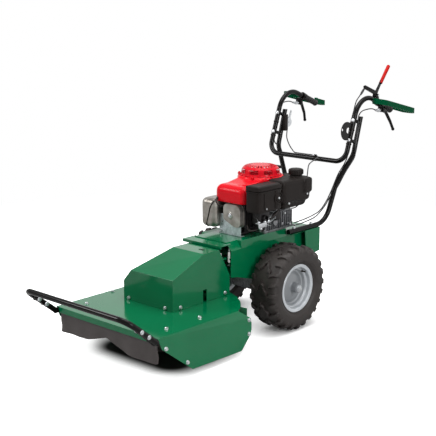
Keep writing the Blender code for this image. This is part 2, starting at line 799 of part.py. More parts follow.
def deck():
    fixed = (deck_shell, rear_skirt, belt_cover, pivot_bracket, spindle_housing, brush_bar, flap_rod)
    roll = body("deck_axis", (0, 0, PIVOT_Z), [make() for make in fixed])
    body("blade_axis", (0, SPINDLE_Y, BLADE_Z), blade_group(), roll)
    hold(roll, front_flap())
    hold(roll, belt("blade_belt", BELT_Z, CRANK_Y, CRANK_PULLEY_R, SPINDLE_Y, SPINDLE_PULLEY_R))
    belt("traction_belt", TRACTION_Z, CRANK_Y, CRANK_LOWER_R, TRACTION_Y, TRACTION_R)


# Engine: an upright-shaft single, with its cylinder lying forward
BASE = FRAME_TOP + GAP
SHROUD_TOP = 730.0
SHROUD_R = 116.0
TANK_NECK = (160.0, 148.0)
NECK_TOP = 736.0


def engine_block():
    made = box("engine_block", (-104, 108), (-24, 188), (BASE, 560), cast(), bevel=14, axis="z")
    barrel = box("barrel", (-28, 92), (-150, -20), (512, 618), bevel=8)
    head = box("head", (-34, 98), (-164, -148), (508, 622), bevel=6)
    deck_plate = box("plate", (-90, 96), (-10, 160), (555, 626 - GAP), bevel=10, axis="z")
    fins = [box("fin", (-42, 106), (y, y + 3), (502, 628)) for y in range(-140, -40, 20)]
    ribs = [box("rib", (104, 116), (y, y + 4), (472, 540)) for y in range(-6, 176, 43)]
    foot = box("foot", (-60, 60), (-170, 0), (BASE, 476))
    strut = box("strut", (0, 60), (-120, -20), (470, 520))
    join(made, foot, strut, barrel, head, deck_plate, merged("fins", fins), merged("ribs", ribs))
    return cut(made, rod("bore", (0, CRANK_Y, 440), (0, CRANK_Y, 640), 13.4, sides=20))


def valve_cover():
    finish = material("tin", (0.32, 0.31, 0.29), 0.8, 0.4)
    made = box("valve_cover", (-34, 98), (-196, -164 - GAP), (508, 622), finish, bevel=14)
    return join(made, rod("bolt", (32, -190, 565), (32, -204, 565), 8, sides=6))


def heat_plate():
    finish = material("galvanised_sheet", (0.42, 0.45, 0.47), 0.8, 0.45)
    made = box("heat_plate", (-56, 134), (-212, -172), (BASE, BASE + 2), finish)
    foot = BASE + 1
    outline = [(-56, foot), (134, foot), (134, 556), (112, 556), (112, 500), (-44, 500), (-56, 490)]
    return join(made, plate("upright", outline, "XZ", -211, 2.0))


def muffler():
    finish = material("aluminised_steel", (0.33, 0.31, 0.29), 0.8, 0.45)
    made = box("muffler", (-150, -48), (-216, -96), (490, 636), finish, bevel=16, segments=2)
    seam = box("seam", (-154, -45), (-160, -152), (486, 640), bevel=12, segments=2, axis="y")
    outlet = rod("outlet", (-130, -210, 520), (-130, -232, 512), 13)
    pipe = rod("pipe", (-60, -120, 566), (-42.4, -120, 566), 14)
    return join(made, seam, outlet, pipe)


def shroud():
    """The red blower housing: a drum round the flywheel that runs forward over the cylinder."""
    finish = material("red_paint", (0.68, 0.012, 0.022), 0.0, 0.2)
    made = rod("engine_shroud", (0, CRANK_Y, 626), (0, CRANK_Y, SHROUD_TOP), SHROUD_R, finish, sides=28)
    front = box("front", (-86, 112), (-186, 60), (634, 712), bevel=16, segments=2)
    join(made, front)
    room = rod("room", (0, CRANK_Y, 600), (0, CRANK_Y, SHROUD_TOP - SHEET), SHROUD_R - 3.5, sides=28)
    hollow = box("hollow", (-82.5, 108.5), (-182.5, 60), (600, 708.5), bevel=13)
    eye = rod("eye", (0, CRANK_Y, 700), (0, CRANK_Y, 740), 82, sides=16)
    return cut(made, room, hollow, eye)


VANES = 6


def flywheel():
    section = [(0, 690), (30, 690), (30, 664), (88, 664), (92, 650), (92, 640.5), (0, 640.5)]
    made = turned("flywheel", section, (0, CRANK_Y, 0), (0, 0, 1), cast(), steps=16)

    def vane():
        return [box("vane", (34, 90), (CRANK_Y - 1.5, CRANK_Y + 1.5), (660, 684))]

    return join(made, merged("vanes", ring_of(vane, VANES, 0, CRANK_Y)))


RECOIL_SLOTS = 8


def recoil_cover():
    base = SHROUD_TOP + GAP
    section = [
        (0, 778), (60, 777), (84, 772), (96, 760), (98.5, base), (95.5, base), (93, 758), (82, 769),
        (60, 774), (0, 775),
    ]
    finish = material("red_plastic", (0.62, 0.014, 0.024), 0.0, 0.3)
    made = turned("recoil_cover", section, (0, CRANK_Y, 0), (0, 0, 1), finish, steps=20)

    def vents():
        long_vent = box("vent", (34, 78), (CRANK_Y - 3, CRANK_Y + 3), (760, 790))
        return long_vent, box("vent", (86, 110), (CRANK_Y - 11, CRANK_Y + 11), (740, 749))

    return cut(made, merged("vents", ring_of(vents, RECOIL_SLOTS, 0, CRANK_Y)))


def starter_grip():
    grip = box("starter_grip", (-38, 38), (182, 198), (744, 762), plastic(), bevel=6)
    join(grip, rod("stem", (0, CRANK_Y + 97.2, 752), (0, 186, 752), 5, sides=12))
    body("starter_axis", (0, 182, 752), [grip])


def air_box():
    made = box("air_box", (118.5, 208), (-192, -12), (600, 724), plastic(), bevel=22, segments=3, axis="z")
    lid = box("lid", (116, 211), (-195, -9), (690, 698), bevel=23, segments=3, axis="z")
    knob = rod("knob", (200, -48, 650), (216, -48, 650), 20, sides=20)
    return join(made, lid, knob)


def fuel_tank():
    made = box("fuel_tank", (44, 206), (-8.6, 218), (576, 727), plastic(), bevel=20, segments=3)
    bump = box("bump", (130, 214), (150, 222), (640, 722), bevel=14)
    neck = rod("neck", (*TANK_NECK, 700), (*TANK_NECK, NECK_TOP), 30, sides=16)
    join(made, bump, neck)
    drum = rod("drum", (0, CRANK_Y, 560), (0, CRANK_Y, 740), SHROUD_R + 2 * GAP, sides=28)
    body_room = box("room", (0, 112), (-40, 195), (540, 627))
    front_room = box("room", (0, 112 + GAP), (-40, 62), (540, 740))
    return cut(made, drum, body_room, front_room)


CAP_RIBS = 8


def fuel_cap():
    x, y = TANK_NECK
    foot, rim_r = NECK_TOP + GAP, 35.5
    section = [(0, 766), (31, 766), (rim_r, 761), (rim_r, foot + 1), (31, foot), (0, foot)]
    made = turned("fuel_cap", section, (x, y, 0), (0, 0, 1), plastic(), steps=16)

    def rib():
        return [box("rib", (x + 32, x + 37.5), (y - 3, y + 3), (740, 760))]

    join(made, merged("ribs", ring_of(rib, CAP_RIBS, x, y)))
    body("cap_axis", (x, y, 750), [made])


def carburettor():
    made = box("carburettor", (118, 176), (-150, -60), (520, 598), cast(), bevel=6)
    flange = rod("flange", (106 + GAP, -90, 560), (122, -90, 560), 20)
    bowl = rod("bowl", (146, -104, 492), (146, -104, 522), 24)
    bracket = box("bracket", (170, 192), (-170, -70), (540, 544))
    screw = rod("screw", (186, -120, 536), (186, -120, 560), 5, sides=8)
    horn = rod("horn", (160, -110, 560), (190, -110, 560), 16)
    return join(made, flange, bowl, bracket, screw, horn)


def oil_filler():
    made = rod("oil_filler", (-126, 112, 500), (-126, 112, 676), 10, plastic(), sides=12)
    elbow = rod("elbow", (-104.4, 112, 512), (-126, 112, 512), 9, sides=12)
    return join(made, elbow, rod("cap", (-126, 112, 670), (-126, 112, 690), 16, sides=12))


# Handle: two lower tubes on the shelf, and a U-shaped bar bolted in front of them
BAR_HIGH = (557, 1118)
BAR_END = (838, 1005)
BAR_LOW = (437, 770)
UPRIGHT = ((BAR_X, *BAR_LOW), (BAR_X, 541, 1071))
TUBE_TOP = ((BAR_X, 512, 800), (BAR_X, 567, 990))


def lower_tube(name, s):
    lying = SHELF_TOP + TUBE_R + GAP
    corners = [(TUBE_FOOT_X, 104, lying), (TUBE_FOOT_X + 2, 412, lying), (168, 478, 645), *TUBE_TOP]
    path = rounded([(s * x, y, z) for x, y, z in corners], [100, 90, 90])
    made = tube(name, path, TUBE_R, black_gloss())
    heads = [bolt((s * TUBE_FOOT_X, y, SHELF_TOP + 2 * TUBE_R - 1), (0, 0, 1)) for y in (150, 290)]
    return join(made, merged(name + "_heads", heads))


def on_grip(distance, drop=0.0):
    """A place on the bar's rear end, as Y and Z, so far forward of its end and so far below it."""
    along = (Vector(BAR_END) - Vector(BAR_HIGH)).normalized()
    across = Vector((along.y, -along.x))
    return Vector(BAR_END) - along * distance + across * drop


def handle_bar():
    half = [(BAR_X, *BAR_END), (BAR_X, *BAR_HIGH), (BAR_X, *BAR_LOW)]
    corners = half + [(-x, y, z) for x, y, z in reversed(half)]
    made = tube("handle_bar", rounded(corners, [115, 60, 60, 115]), TUBE_R, black_gloss())
    pieces = []
    for s in (1, -1):
        for y, z, reach in ((476, 877, 40), (509, 975, 36)):
            x = s * BAR_X
            pieces.append(rod("spacer", (x, y + 8, z), (x, y + reach, z - reach * 0.3), 9, sides=8))
            pieces.append(rod("bolt", (x, y, z), (x, y - 17, z + 5), 8, sides=6))
    return join(made, merged("bar_fixings", pieces))


def grip(name, s):
    along = Vector((0, *(Vector(BAR_END) - Vector(BAR_HIGH)))).normalized()
    near = on_grip(104)
    bore, full, end = TUBE_R + 0.4, 104.0, 104.5
    section = [
        (0, end + 3.5), (12, end + 3.5), (GRIP_R, full), (GRIP_R, 3), (GRIP_R + 2, 0), (bore, 0), (bore, end),
        (0, end),
    ]
    return turned(name, section, (s * BAR_X, near.x, near.y), along, rubber(), steps=16)


GUARD_HALF = 14.0
GUARD_SHEET = 3.5
GUARD_OUT = 333.0


def guard(name, s):
    """A green strap that runs round the outside of the hand, clamped to the bar at both its ends."""
    bar_side = BAR_X + TUBE_R + GAP + GUARD_SHEET
    past_end = BAR_END[0] + 8.5
    route = [
        (bar_side, 682), (bar_side, 648), (290, 632), (GUARD_OUT, 662), (GUARD_OUT, 948), (300, 962),
        (262, 950), (262, past_end), (238, past_end),
    ]
    path = rounded([(x, y, 0) for x, y in route], [12, 20, 30, 28, 14, 14, 6], step=28)
    faces = []
    for a, b in zip(path, path[1:]):
        lows = [(s * p.x, p.y, 1064 - 0.235 * (p.y - 652) - GUARD_HALF) for p in (a, b)]
        highs = [(x, y, z + 2 * GUARD_HALF) for x, y, z in lows]
        faces.append([lows[0], lows[1], highs[1], highs[0]])
    return sheet(name, faces, GUARD_SHEET, green(), (s, 0, 0))


LEVER_AXIS = (724.0, 1013.0)
LEVER_X = 274.0
HUB_HALF = 7.0


def lever_perch(name, s):
    """A clamp round the bar in front of the grip, with the lever's fork below it."""
    y, z = on_grip(124)
    made = rod(name, (s * BAR_X, y - 9, z + 4), (s * BAR_X, y + 9, z - 4), 19, black_gloss(), sides=16)
    arm = box("arm", sorted((s * 250, s * 290)), (714, 732), (1004, 1044))
    nose = rod("nose", (s * 270, 722, 1014), (s * 270, 676, 1014), 8, sides=10)
    join(made, arm, nose)
    slot = HUB_HALF + GAP
    fork = box("fork", sorted((s * (LEVER_X - slot), s * (LEVER_X + slot))), (711, 760), (990, 1023))
    bore_a, bore_b = (s * BAR_X, y - 30, z + 12.2), (s * BAR_X, y + 30, z - 12.2)
    return cut(made, rod("bore", bore_a, bore_b, TUBE_R + 0.6, sides=20), fork)


def hand_lever(name, s):
    corners = [(s * LEVER_X, 726, 1012), (s * 276, 748, 994), (s * 284, 778, 950), (s * 292, 804, 908)]
    made = tube(name, rounded(corners, 40), 6.0, plastic(), resolution=2)
    tip = ball("tip", (s * 292, 805, 905), 9, segments=8)
    inner, outer = s * (LEVER_X - HUB_HALF), s * (LEVER_X + HUB_HALF)
    hub = rod("hub", (inner, *LEVER_AXIS), (outer, *LEVER_AXIS), 9, sides=12)
    join(made, tip, hub)
    body(f"hand_lever_axis_{name[-1]}", (s * LEVER_X, *LEVER_AXIS), [made])


RED_AXIS = (700.0, 1089.0)


def blade_lever():
    """The bell-crank of the blade clutch: a plate arm forward to its cable and a grip up and back."""
    crank = [
        (706, 1082), (711, 1090), (712, 1104), (752, 1158), (741, 1166), (697, 1112), (600, 1149),
        (586, 1146), (588, 1132), (686, 1096), (694, 1082),
    ]
    made = plate("blade_lever", crank, "YZ", BAR_X, 6.0, black_gloss())
    handle = tube("handle", [(BAR_X, 738, 1148), (BAR_X, 812, 1238)], 9, resolution=2)
    boss = rod("boss", (BAR_X - 8, *RED_AXIS), (BAR_X + 8, *RED_AXIS), 9, sides=12)
    join(made, handle, boss)
    cut(made, rod("bore", (BAR_X - 20, *RED_AXIS), (BAR_X + 20, *RED_AXIS), 5.5, sides=12))
    body("blade_lever_axis", (BAR_X, *RED_AXIS), [made])


def lever_bracket():
    """Two cheeks on a clamp round the bar, with the blade lever's pin between them."""
    y, z = 700.0, 1060.0
    made = rod("lever_bracket", (BAR_X, y - 10, z + 4), (BAR_X, y + 10, z - 4), 17, black_gloss(), sides=16)
    cheek = [(689, 1066), (709, 1058), (710, 1092), (706, 1098), (694, 1098), (689, 1090)]
    cheeks = [plate("cheek", cheek, "YZ", BAR_X + s * 12, 4.0) for s in (1, -1)]
    pin = rod("pin", (BAR_X - 18, *RED_AXIS), (BAR_X + 18, *RED_AXIS), 5, sides=10)
    join(made, merged("cheeks", cheeks), pin)
    stop = box("stop", (BAR_X - 8.5, BAR_X + 8.5), (680, 724), (1060, 1090))
    bore_a, bore_b = (BAR_X, y - 40, z + 16.1), (BAR_X, y + 40, z - 16.1)
    return cut(made, stop, rod("bore", bore_a, bore_b, TUBE_R + 0.5, sides=20))


def cable_plate():
    """A pierced plate in front of the near upright, which the blade cable passes."""
    at = (446.0, 928.0)
    made = rod("cable_plate", (BAR_X - 2, *at), (BAR_X + 2, *at), 47, black_gloss(), sides=28)
    tab = plate("tab", [(452, 900), (476, 905), (488, 962), (484, 972), (440, 960)], "YZ", BAR_X, 4.0)
    join(made, tab)
    hole = rod("hole", (BAR_X - 9, 458, 930), (BAR_X + 9, 458, 930), 15, sides=16)
    small = rod("hole", (BAR_X - 9, 410, 938), (BAR_X + 9, 410, 938), 7, sides=12)
    head = rod("head", (BAR_X, 470, 879), (BAR_X, 430, 891), 9.5, sides=12)
    return cut(made, hole, small, head, tube("bar", UPRIGHT, TUBE_R + 0.4))


THROTTLE_X = -218.0
THROTTLE_AXIS = (556.0, 924.0)


def throttle():
    x = THROTTLE_X
    made = box("throttle_body", (x - 8, x + 8), (520, 548), (880, 968), plastic(), bevel=4)
    boss = rod("boss", (x - 8, *THROTTLE_AXIS), (x + 8, *THROTTLE_AXIS), 26, sides=20)
    clip = box("clip", (-240, -222), (532, 560), (900, 950))
    join(made, boss, clip)
    slot = rod("slot", (x - 3.5, *THROTTLE_AXIS), (x + 3.5, *THROTTLE_AXIS), 40, sides=20)
    keep = box("keep", (x - 4, x + 4), (500, 536), (860, 990))
    cut(slot, keep)
    bar = tube("bar", [(-x, y, z) for x, y, z in UPRIGHT], TUBE_R + 0.4)
    lower = tube("lower", [(-x, y, z) for x, y, z in TUBE_TOP], TUBE_R + GAP)
    cut(made, slot, bar, lower)
    pin = rod("pin", (x - 9, *THROTTLE_AXIS), (x + 9, *THROTTLE_AXIS), 3.5, sides=10)
    join(made, pin)
    arm = [(548, 916), (564, 916), (574, 940), (590, 982), (580, 988), (564, 950), (548, 936)]
    lever = plate("throttle_lever", arm, "YZ", x, 4.0, zinc())
    hub = rod("hub", (x - 3, *THROTTLE_AXIS), (x + 3, *THROTTLE_AXIS), 12, sides=16)
    join(lever, hub)
    cut(lever, rod("bore", (x - 9, *THROTTLE_AXIS), (x + 9, *THROTTLE_AXIS), 4.0, sides=12))
    body("throttle_axis", (x, *THROTTLE_AXIS), [lever])


CLUTCH_ROUTE = (
    (270, 674, 1014), (270, 640, 1026), (268, 600, 1028), (264, 550, 1020), (258, 530, 990), (266, 516, 930),
    (266, 498, 860), (262, 484, 790), (205, 458, 690), (166, 436, 610), (150, 432, 545), (148, 408, 510),
    (140, 330, 480), (126, 240, 466), (120, 190, 462),
)
BLADE_ROUTE = (
    (BAR_X, 589.5, 1130.2), (BAR_X - 4, 577, 1112), (236, 566, 1094), (228, 552, 1070), (228, 534, 1030),
    (228, 496, 930), (226, 480, 850), (208, 470, 800), (182, 462, 750), (156, 448, 690), (140, 430, 600),
    (130, 404, 520), (110, 300, 480), (100, 220, 470),
)
THROTTLE_ROUTE = (
    (THROTTLE_X, 550, 879), (THROTTLE_X, 549, 840), (-205, 556, 800), (-180, 552, 776), (-140, 516, 772),
    (-100, 468, 783), (-73, 440, 786), (0, 437, 786), (62, 437, 786), (92, 415, 782), (110, 360, 775),
    (125, 300, 762), (150, 256, 730), (160, 236, 680), (150, 232, 610), (124, 206, 560), (100, 191.5, 548),
)


def cable(name, route):
    sheath = material("cable_sheath", (0.02, 0.02, 0.021), 0.0, 0.5)
    return tube(name, route, CABLE_R, sheath, resolution=1)


def main():
    start()
    wheels()
    main_frame()
    rear_shelf()
    transaxle()
    lock_pin()
    traction_pulley()
    idler()
    deck()
    engine_block()
    valve_cover()
    heat_plate()
    muffler()
    shroud()
    body("crank_axis", (0, CRANK_Y, BELT_Z), [crank_pulley(), flywheel()])
    recoil_cover()
    starter_grip()
    air_box()
    fuel_tank()
    fuel_cap()
    carburettor()
    oil_filler()
    handle_bar()
    for name, s in (("L", 1), ("R", -1)):
        lower_tube(f"lower_tube_{name}", s)
        grip(f"grip_{name}", s)
        guard(f"guard_{name}", s)
        lever_perch(f"lever_perch_{name}", s)
        hand_lever(f"hand_lever_{name}", s)
        cable(f"clutch_cable_{name}", [(s * x, y, z) for x, y, z in CLUTCH_ROUTE])
    lever_bracket()
    blade_lever()
    cable_plate()
    throttle()
    cable("blade_cable", BLADE_ROUTE)
    cable("throttle_cable", THROTTLE_ROUTE)


main()
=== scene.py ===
"""Looks of a walk-behind brush cutter: a green deck, two lugged wheels, a red engine and a handle bar."""

import math

import bmesh
import bpy
from mathutils import Matrix, Vector


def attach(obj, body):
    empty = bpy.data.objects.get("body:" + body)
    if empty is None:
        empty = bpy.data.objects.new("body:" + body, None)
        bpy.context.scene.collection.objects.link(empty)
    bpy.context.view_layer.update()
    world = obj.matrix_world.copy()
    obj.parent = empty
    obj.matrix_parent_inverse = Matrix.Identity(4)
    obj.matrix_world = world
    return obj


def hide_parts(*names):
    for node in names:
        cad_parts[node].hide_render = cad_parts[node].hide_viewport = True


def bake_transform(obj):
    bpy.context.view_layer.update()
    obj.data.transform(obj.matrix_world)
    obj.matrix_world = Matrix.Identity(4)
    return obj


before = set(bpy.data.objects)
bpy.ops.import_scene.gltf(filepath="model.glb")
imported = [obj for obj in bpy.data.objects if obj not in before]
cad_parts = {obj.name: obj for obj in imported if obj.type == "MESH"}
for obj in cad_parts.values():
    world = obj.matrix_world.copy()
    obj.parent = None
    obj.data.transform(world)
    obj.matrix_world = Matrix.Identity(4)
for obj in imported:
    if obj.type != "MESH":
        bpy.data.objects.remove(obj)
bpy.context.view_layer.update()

# Studio: a white sweep under broad soft boxes, as for a catalogue picture. The sweep is painted board,
# matt, and the soft dark under the deck and the tyres is partly painted shadow on it.


def linear(code):
    """The linear colour of an sRGB hex value."""
    parts = [int(code[i : i + 2], 16) / 255 for i in (1, 3, 5)]
    return (*[c / 12.92 if c <= 0.04045 else ((c + 0.055) / 1.055) ** 2.4 for c in parts], 1.0)


def add(tree, kind, settings=(), **links):
    """Adds a node; settings go to its properties or inputs, links name the socket that feeds each input."""
    node = tree.nodes.new("ShaderNode" + kind)
    for name, value in dict(settings).items():
        if isinstance(name, str) and hasattr(node, name):
            setattr(node, name, value)
        else:
            node.inputs[name].default_value = value
    for name, source in links.items():
        target = int(name[1:]) if name[0] == "_" else name.replace("_", " ")
        tree.links.new(source, node.inputs[target])
    return node


scene = bpy.context.scene
scene.view_settings.view_transform = "Standard"
WHITE = (1.0, 1.0, 1.0, 1.0)

backdrop = bpy.data.materials.new("painted_board")
backdrop.use_nodes = True
board = backdrop.node_tree
board.nodes.clear()
rays = add(board, "LightPath")
pale = add(board, "BsdfDiffuse", {"Color": linear("#BEBEBE")})
matt = add(board, "BsdfDiffuse", {"Color": linear("#F2F2F2")})
# The board glows white for the camera; occlusion dims the glow under the deck and tyres: painted shade.
SHADE_REACH = 0.17
painted_occlusion = add(board, "AmbientOcclusion", {"Distance": SHADE_REACH, "samples": 12})
depth = add(board, "Math", {"operation": "POWER", 1: 1.5}, _0=painted_occlusion.outputs["AO"])
occluded_glow = add(board, "Math", {"operation": "MULTIPLY", 1: 0.8}, _0=depth.outputs[0])
# Under the deck, a hand's breadth up, a soft-edged patch of the board is painted dark as a painted shadow. It
# is a rectangle of these half sizes about its middle, in metres, which fades back to the lit board round it.
PATCH_Y = -0.48
PATCH_HALF = (0.16, 0.15, 0.0)
PATCH_EDGE = {"From Min": 0.07, "From Max": 0.175}
spot = add(board, "NewGeometry").outputs["Position"]
from_middle = add(board, "VectorMath", {"operation": "ADD", 1: (0.0, -PATCH_Y, 0.0)}, _0=spot)
aside = add(board, "VectorMath", {"operation": "ABSOLUTE"}, _0=from_middle.outputs[0])
beyond = add(board, "VectorMath", {"operation": "SUBTRACT", 1: PATCH_HALF}, _0=aside.outputs[0])
past_patch = add(board, "VectorMath", {"operation": "MAXIMUM", 1: (0.0, 0.0, 0.0)}, _0=beyond.outputs[0])
clear = add(board, "VectorMath", {"operation": "LENGTH"}, _0=past_patch.outputs[0]).outputs["Value"]
outside_painted_shadow = add(board, "MapRange", {"interpolation_type": "SMOOTHSTEP", **PATCH_EDGE}, Value=clear)
painted_shadow_board = add(board, "BsdfDiffuse", {"Color": linear("#3C3C3A")})
lift = add(board, "Emission", {"Color": WHITE}, Strength=occluded_glow.outputs[0])
exposed = add(board, "AddShader", (), _0=matt.outputs[0], _1=lift.outputs[0])
under = add(
    board, "MixShader", (), _0=outside_painted_shadow.outputs["Result"], _1=painted_shadow_board.outputs[0], _2=exposed.outputs[0],
)
near_board = add(
    board, "MixShader", (), _0=rays.outputs["Is Camera Ray"], _1=pale.outputs[0], _2=under.outputs[0],
)
glow = add(board, "Emission", {"Color": WHITE, "Strength": 1.0})
# Further off than this the board gives way to plain white, which a mirror or a glass sees too.
FADE_EDGE = {"From Min": 1.7, "From Max": 3.4}
reach = add(board, "VectorMath", {"operation": "LENGTH"}, _0=spot).outputs["Value"]
fade = add(board, "MapRange", {"interpolation_type": "SMOOTHSTEP", **FADE_EDGE}, Value=reach)
mirrored, through = rays.outputs["Is Glossy Ray"], rays.outputs["Is Transmission Ray"]
shine = add(board, "Math", {"operation": "MAXIMUM"}, _0=mirrored, _1=through)
seen = add(board, "Math", {"operation": "MAXIMUM"}, _0=rays.outputs["Is Camera Ray"], _1=shine.outputs[0])
share = add(board, "Math", {"operation": "MULTIPLY"}, _0=seen.outputs[0], _1=fade.outputs["Result"])
mixed = add(board, "MixShader", (), _0=share.outputs[0], _1=near_board.outputs[0], _2=glow.outputs[0])
add(board, "OutputMaterial", (), Surface=mixed.outputs[0])

SWEEP_FRONT, SWEEP_BACK, SWEEP_TOP, SWEEP_HALF = -40.0, 14.0, 30.0, 60.0
SWEEP_RADIUS = 4.0
BELOW_TYRES = 0.0005
sweep_line = [(SWEEP_FRONT, 0.0), (SWEEP_BACK, 0.0)]
for step in range(1, 13):
    a = step * math.pi / 24
    sweep_line.append((SWEEP_BACK + SWEEP_RADIUS * math.sin(a), SWEEP_RADIUS - SWEEP_RADIUS * math.cos(a)))
sweep_line.append((SWEEP_BACK + SWEEP_RADIUS, SWEEP_TOP))
sweep_mesh = bmesh.new()
left_side, right_side = (
    [sweep_mesh.verts.new((x, y, z - BELOW_TYRES)) for y, z in sweep_line] for x in (-SWEEP_HALF, SWEEP_HALF)
)
for k in range(len(sweep_line) - 1):
    sweep_mesh.faces.new((left_side[k], right_side[k], right_side[k + 1], left_side[k + 1]))
sweep_data = bpy.data.meshes.new("studio_sweep")
sweep_mesh.to_mesh(sweep_data)
sweep_data.shade_smooth()
sweep = bpy.data.objects.new("studio_sweep", sweep_data)
sweep_data.materials.append(backdrop)
scene.collection.objects.link(sweep)

world = bpy.data.worlds.new("studio_air")
scene.world = world
world.use_nodes = True
air = world.node_tree
up = add(air, "SeparateXYZ", (), Vector=add(air, "TexCoord").outputs["Generated"])
# The air lights softly from above and less from below; the camera alone sees it as plain white.
SKY = {"From Min": -0.1, "From Max": 0.9, "To Min": 0.35, "To Max": 0.7}
sky = add(air, "MapRange", SKY, Value=up.outputs["Z"])
seen_air = add(air, "LightPath").outputs["Is Camera Ray"]
level = add(air, "Math", {"operation": "MAXIMUM"}, _0=sky.outputs["Result"], _1=seen_air)
air.links.new(level.outputs[0], air.nodes["Background"].inputs["Strength"])
air.nodes["Background"].inputs["Color"].default_value = WHITE


def soft_box(name, place, target, size, power):
    """A lamp behind a rectangle of white cloth, turned towards its target; its size is in metres."""
    lamp = bpy.data.lights.new(name, "AREA")
    lamp.shape = "RECTANGLE"
    lamp.size, lamp.size_y = size
    lamp.energy = power
    box = bpy.data.objects.new(name, lamp)
    scene.collection.objects.link(box)
    box.location = place
    box.rotation_euler = (Vector(target) - Vector(place)).to_track_quat("-Z", "Y").to_euler()


soft_box("overhead_box", (0.3, 0.2, 3.6), (0, 0, 0.3), (2.6, 2.6), 84)
soft_box("key_box", (-2.6, -3.0, 2.8), (0, 0, 0.4), (1.2, 1.5), 68)
soft_box("side_box", (3.6, -0.8, 1.8), (0, 0, 0.4), (0.9, 1.8), 62)

# The camera stands where the photograph was solved to be taken from, with its lens in millimetres.
CAMERA_AT = (3.150, -3.605, 1.615)
CAMERA_TILT, CAMERA_HEADING = 77.25, 42.34
camera_data = bpy.data.cameras.new("camera")
camera_data.lens = 82.57
camera = bpy.data.objects.new("camera", camera_data)
scene.collection.objects.link(camera)
camera.location = CAMERA_AT
camera.rotation_euler = (math.radians(CAMERA_TILT), 0.0, math.radians(CAMERA_HEADING))
scene.camera = camera

# Rims: two discs of pressed sheet steel welded back to back, then painted a light satin grey. The paint
# is smooth but a little clouded, and each step of the pressing catches its own ring of light.
MM = 0.001
AXLE_Y = 99.0
WHEEL_X = 234.0
WHEEL_R = 211.6
SIDES = (("L", 1), ("R", -1))
ALONG_X, ALONG_Y, UP = (1, 0, 0), (0, 1, 0), (0, 0, 1)
FORWARD = (0, -1, 0)


def at(x, y, z):
    """A place in metres, from millimetres measured from the ground under the middle of the axle."""
    return Vector((x, y + AXLE_Y, z)) * MM


def turning(centre, axis):
    """A matrix that stands a profile's own Z along the axis, at the centre."""
    turn = Vector(UP).rotation_difference(Vector(axis))
    return Matrix.Translation(at(*centre)) @ turn.to_matrix().to_4x4()


def lathe(bm, profile, centre, axis, steps, closed=False, index=0):
    """Turns a line of (radius, height) in millimetres round the axis; points on the axis close the ends."""
    matrix = turning(centre, axis)
    spin = [math.tau * k / steps for k in range(steps)]
    rings = []
    for r, z in profile:
        if r < 0.01:
            rings.append([bm.verts.new(matrix @ Vector((0, 0, z * MM)))])
            continue
        circle = [Vector((r * math.cos(a), r * math.sin(a), z)) * MM for a in spin]
        rings.append([bm.verts.new(matrix @ spot) for spot in circle])
    pairs = list(zip(rings, rings[1:])) + ([(rings[-1], rings[0])] if closed else [])
    for low, high in pairs:
        for k in range(steps):
            n = (k + 1) % steps
            corners = [low[k % len(low)], low[n % len(low)], high[n % len(high)], high[k % len(high)]]
            corners = list(dict.fromkeys(corners))
            if len(corners) > 2:
                bm.faces.new(corners).material_index = index


def soften(profile):
    """Rounds the inner corners of a profile with short arcs, as a press or a mould leaves them."""
    cuts = 2
    out = [Vector(profile[0])]
    for before, here, after in zip(profile, profile[1:], profile[2:]):
        before, here, after = Vector(before), Vector(here), Vector(after)
        reach = min((before - here).length, (after - here).length) * 0.38
        a = here + (before - here).normalized() * reach
        b = here + (after - here).normalized() * reach
        for k in range(cuts + 1):
            t = k / cuts
            out.append((1 - t) ** 2 * a + 2 * t * (1 - t) * here + t * t * b)
    out.append(Vector(profile[-1]))
    return [(p[0], p[1]) for p in out]


def hexagon(bm, centre, axis, across, height, washer=0.0):
    """A hexagon head with a chamfered top, on a washer if it has one; across is its width over the flats."""
    axis = Vector(axis).normalized()
    start = Vector(centre)
    if washer:
        lathe(bm, [(0, 0), (washer, 0), (washer, 1.6), (washer - 0.6, 2.0), (0, 2.0)], start, axis, 24)
        start = start + axis * 1.8
    r = across / math.sqrt(3)
    lathe(bm, [(0, 0), (r, 0), (r, height - r * 0.14), (r * 0.86, height), (0, height)], start, axis, 6)


def piece(name, bm, materials, body, replaces=(), smooth=35.0):
    """Turns the mesh into one piece that rides on a body of the machine, or stands on its own without one."""
    bmesh.ops.remove_doubles(bm, verts=bm.verts, dist=0.00001)
    bmesh.ops.recalc_face_normals(bm, faces=bm.faces)
    data = bpy.data.meshes.new(name)
    bm.to_mesh(data)
    bm.free()
    for material in materials:
        data.materials.append(material)
    data.shade_smooth()
    data.set_sharp_from_angle(angle=math.radians(smooth))
    made = bpy.data.objects.new(name, data)
    scene.collection.objects.link(made)
    if body:
        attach(made, body)
    if replaces:
        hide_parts(*replaces)
    return made


def finish(name, **settings):
    """A material with its tree, its shader and the object's own coordinates."""
    made = bpy.data.materials.new(name)
    made.use_nodes = True
    tree = made.node_tree
    shader = tree.nodes["Principled BSDF"]
    for key, value in settings.items():
        shader.inputs[key.replace("_", " ")].default_value = value
    place = add(tree, "TexCoord").outputs["Object"]
    return made, tree, shader, place


def work_in(tree, shader, pattern, dark, light, rough=None, ends=(0.0, 1.0), relief=None):
    """Lets a pattern carry a finish: its colour from dark to light between the ends, and its roughness.

    Relief is a pattern of its own with its strength and its depth in metres.
    """
    tone = add(tree, "ValToRGB", (), Fac=pattern)
    for stop, place_on, colour in zip(tone.color_ramp.elements, ends, (dark, light)):
        stop.position = place_on
        stop.color = linear(colour)
    tree.links.new(tone.outputs["Color"], shader.inputs["Base Color"])
    if rough:
        gloss = add(tree, "MapRange", {"To Min": rough[0], "To Max": rough[1]}, Value=pattern)
        tree.links.new(gloss.outputs["Result"], shader.inputs["Roughness"])
    if relief:
        height, strength, depth = relief
        skin = add(tree, "Bump", {"Strength": strength, "Distance": depth}, Height=height)
        tree.links.new(skin.outputs["Normal"], shader.inputs["Normal"])
    return tone


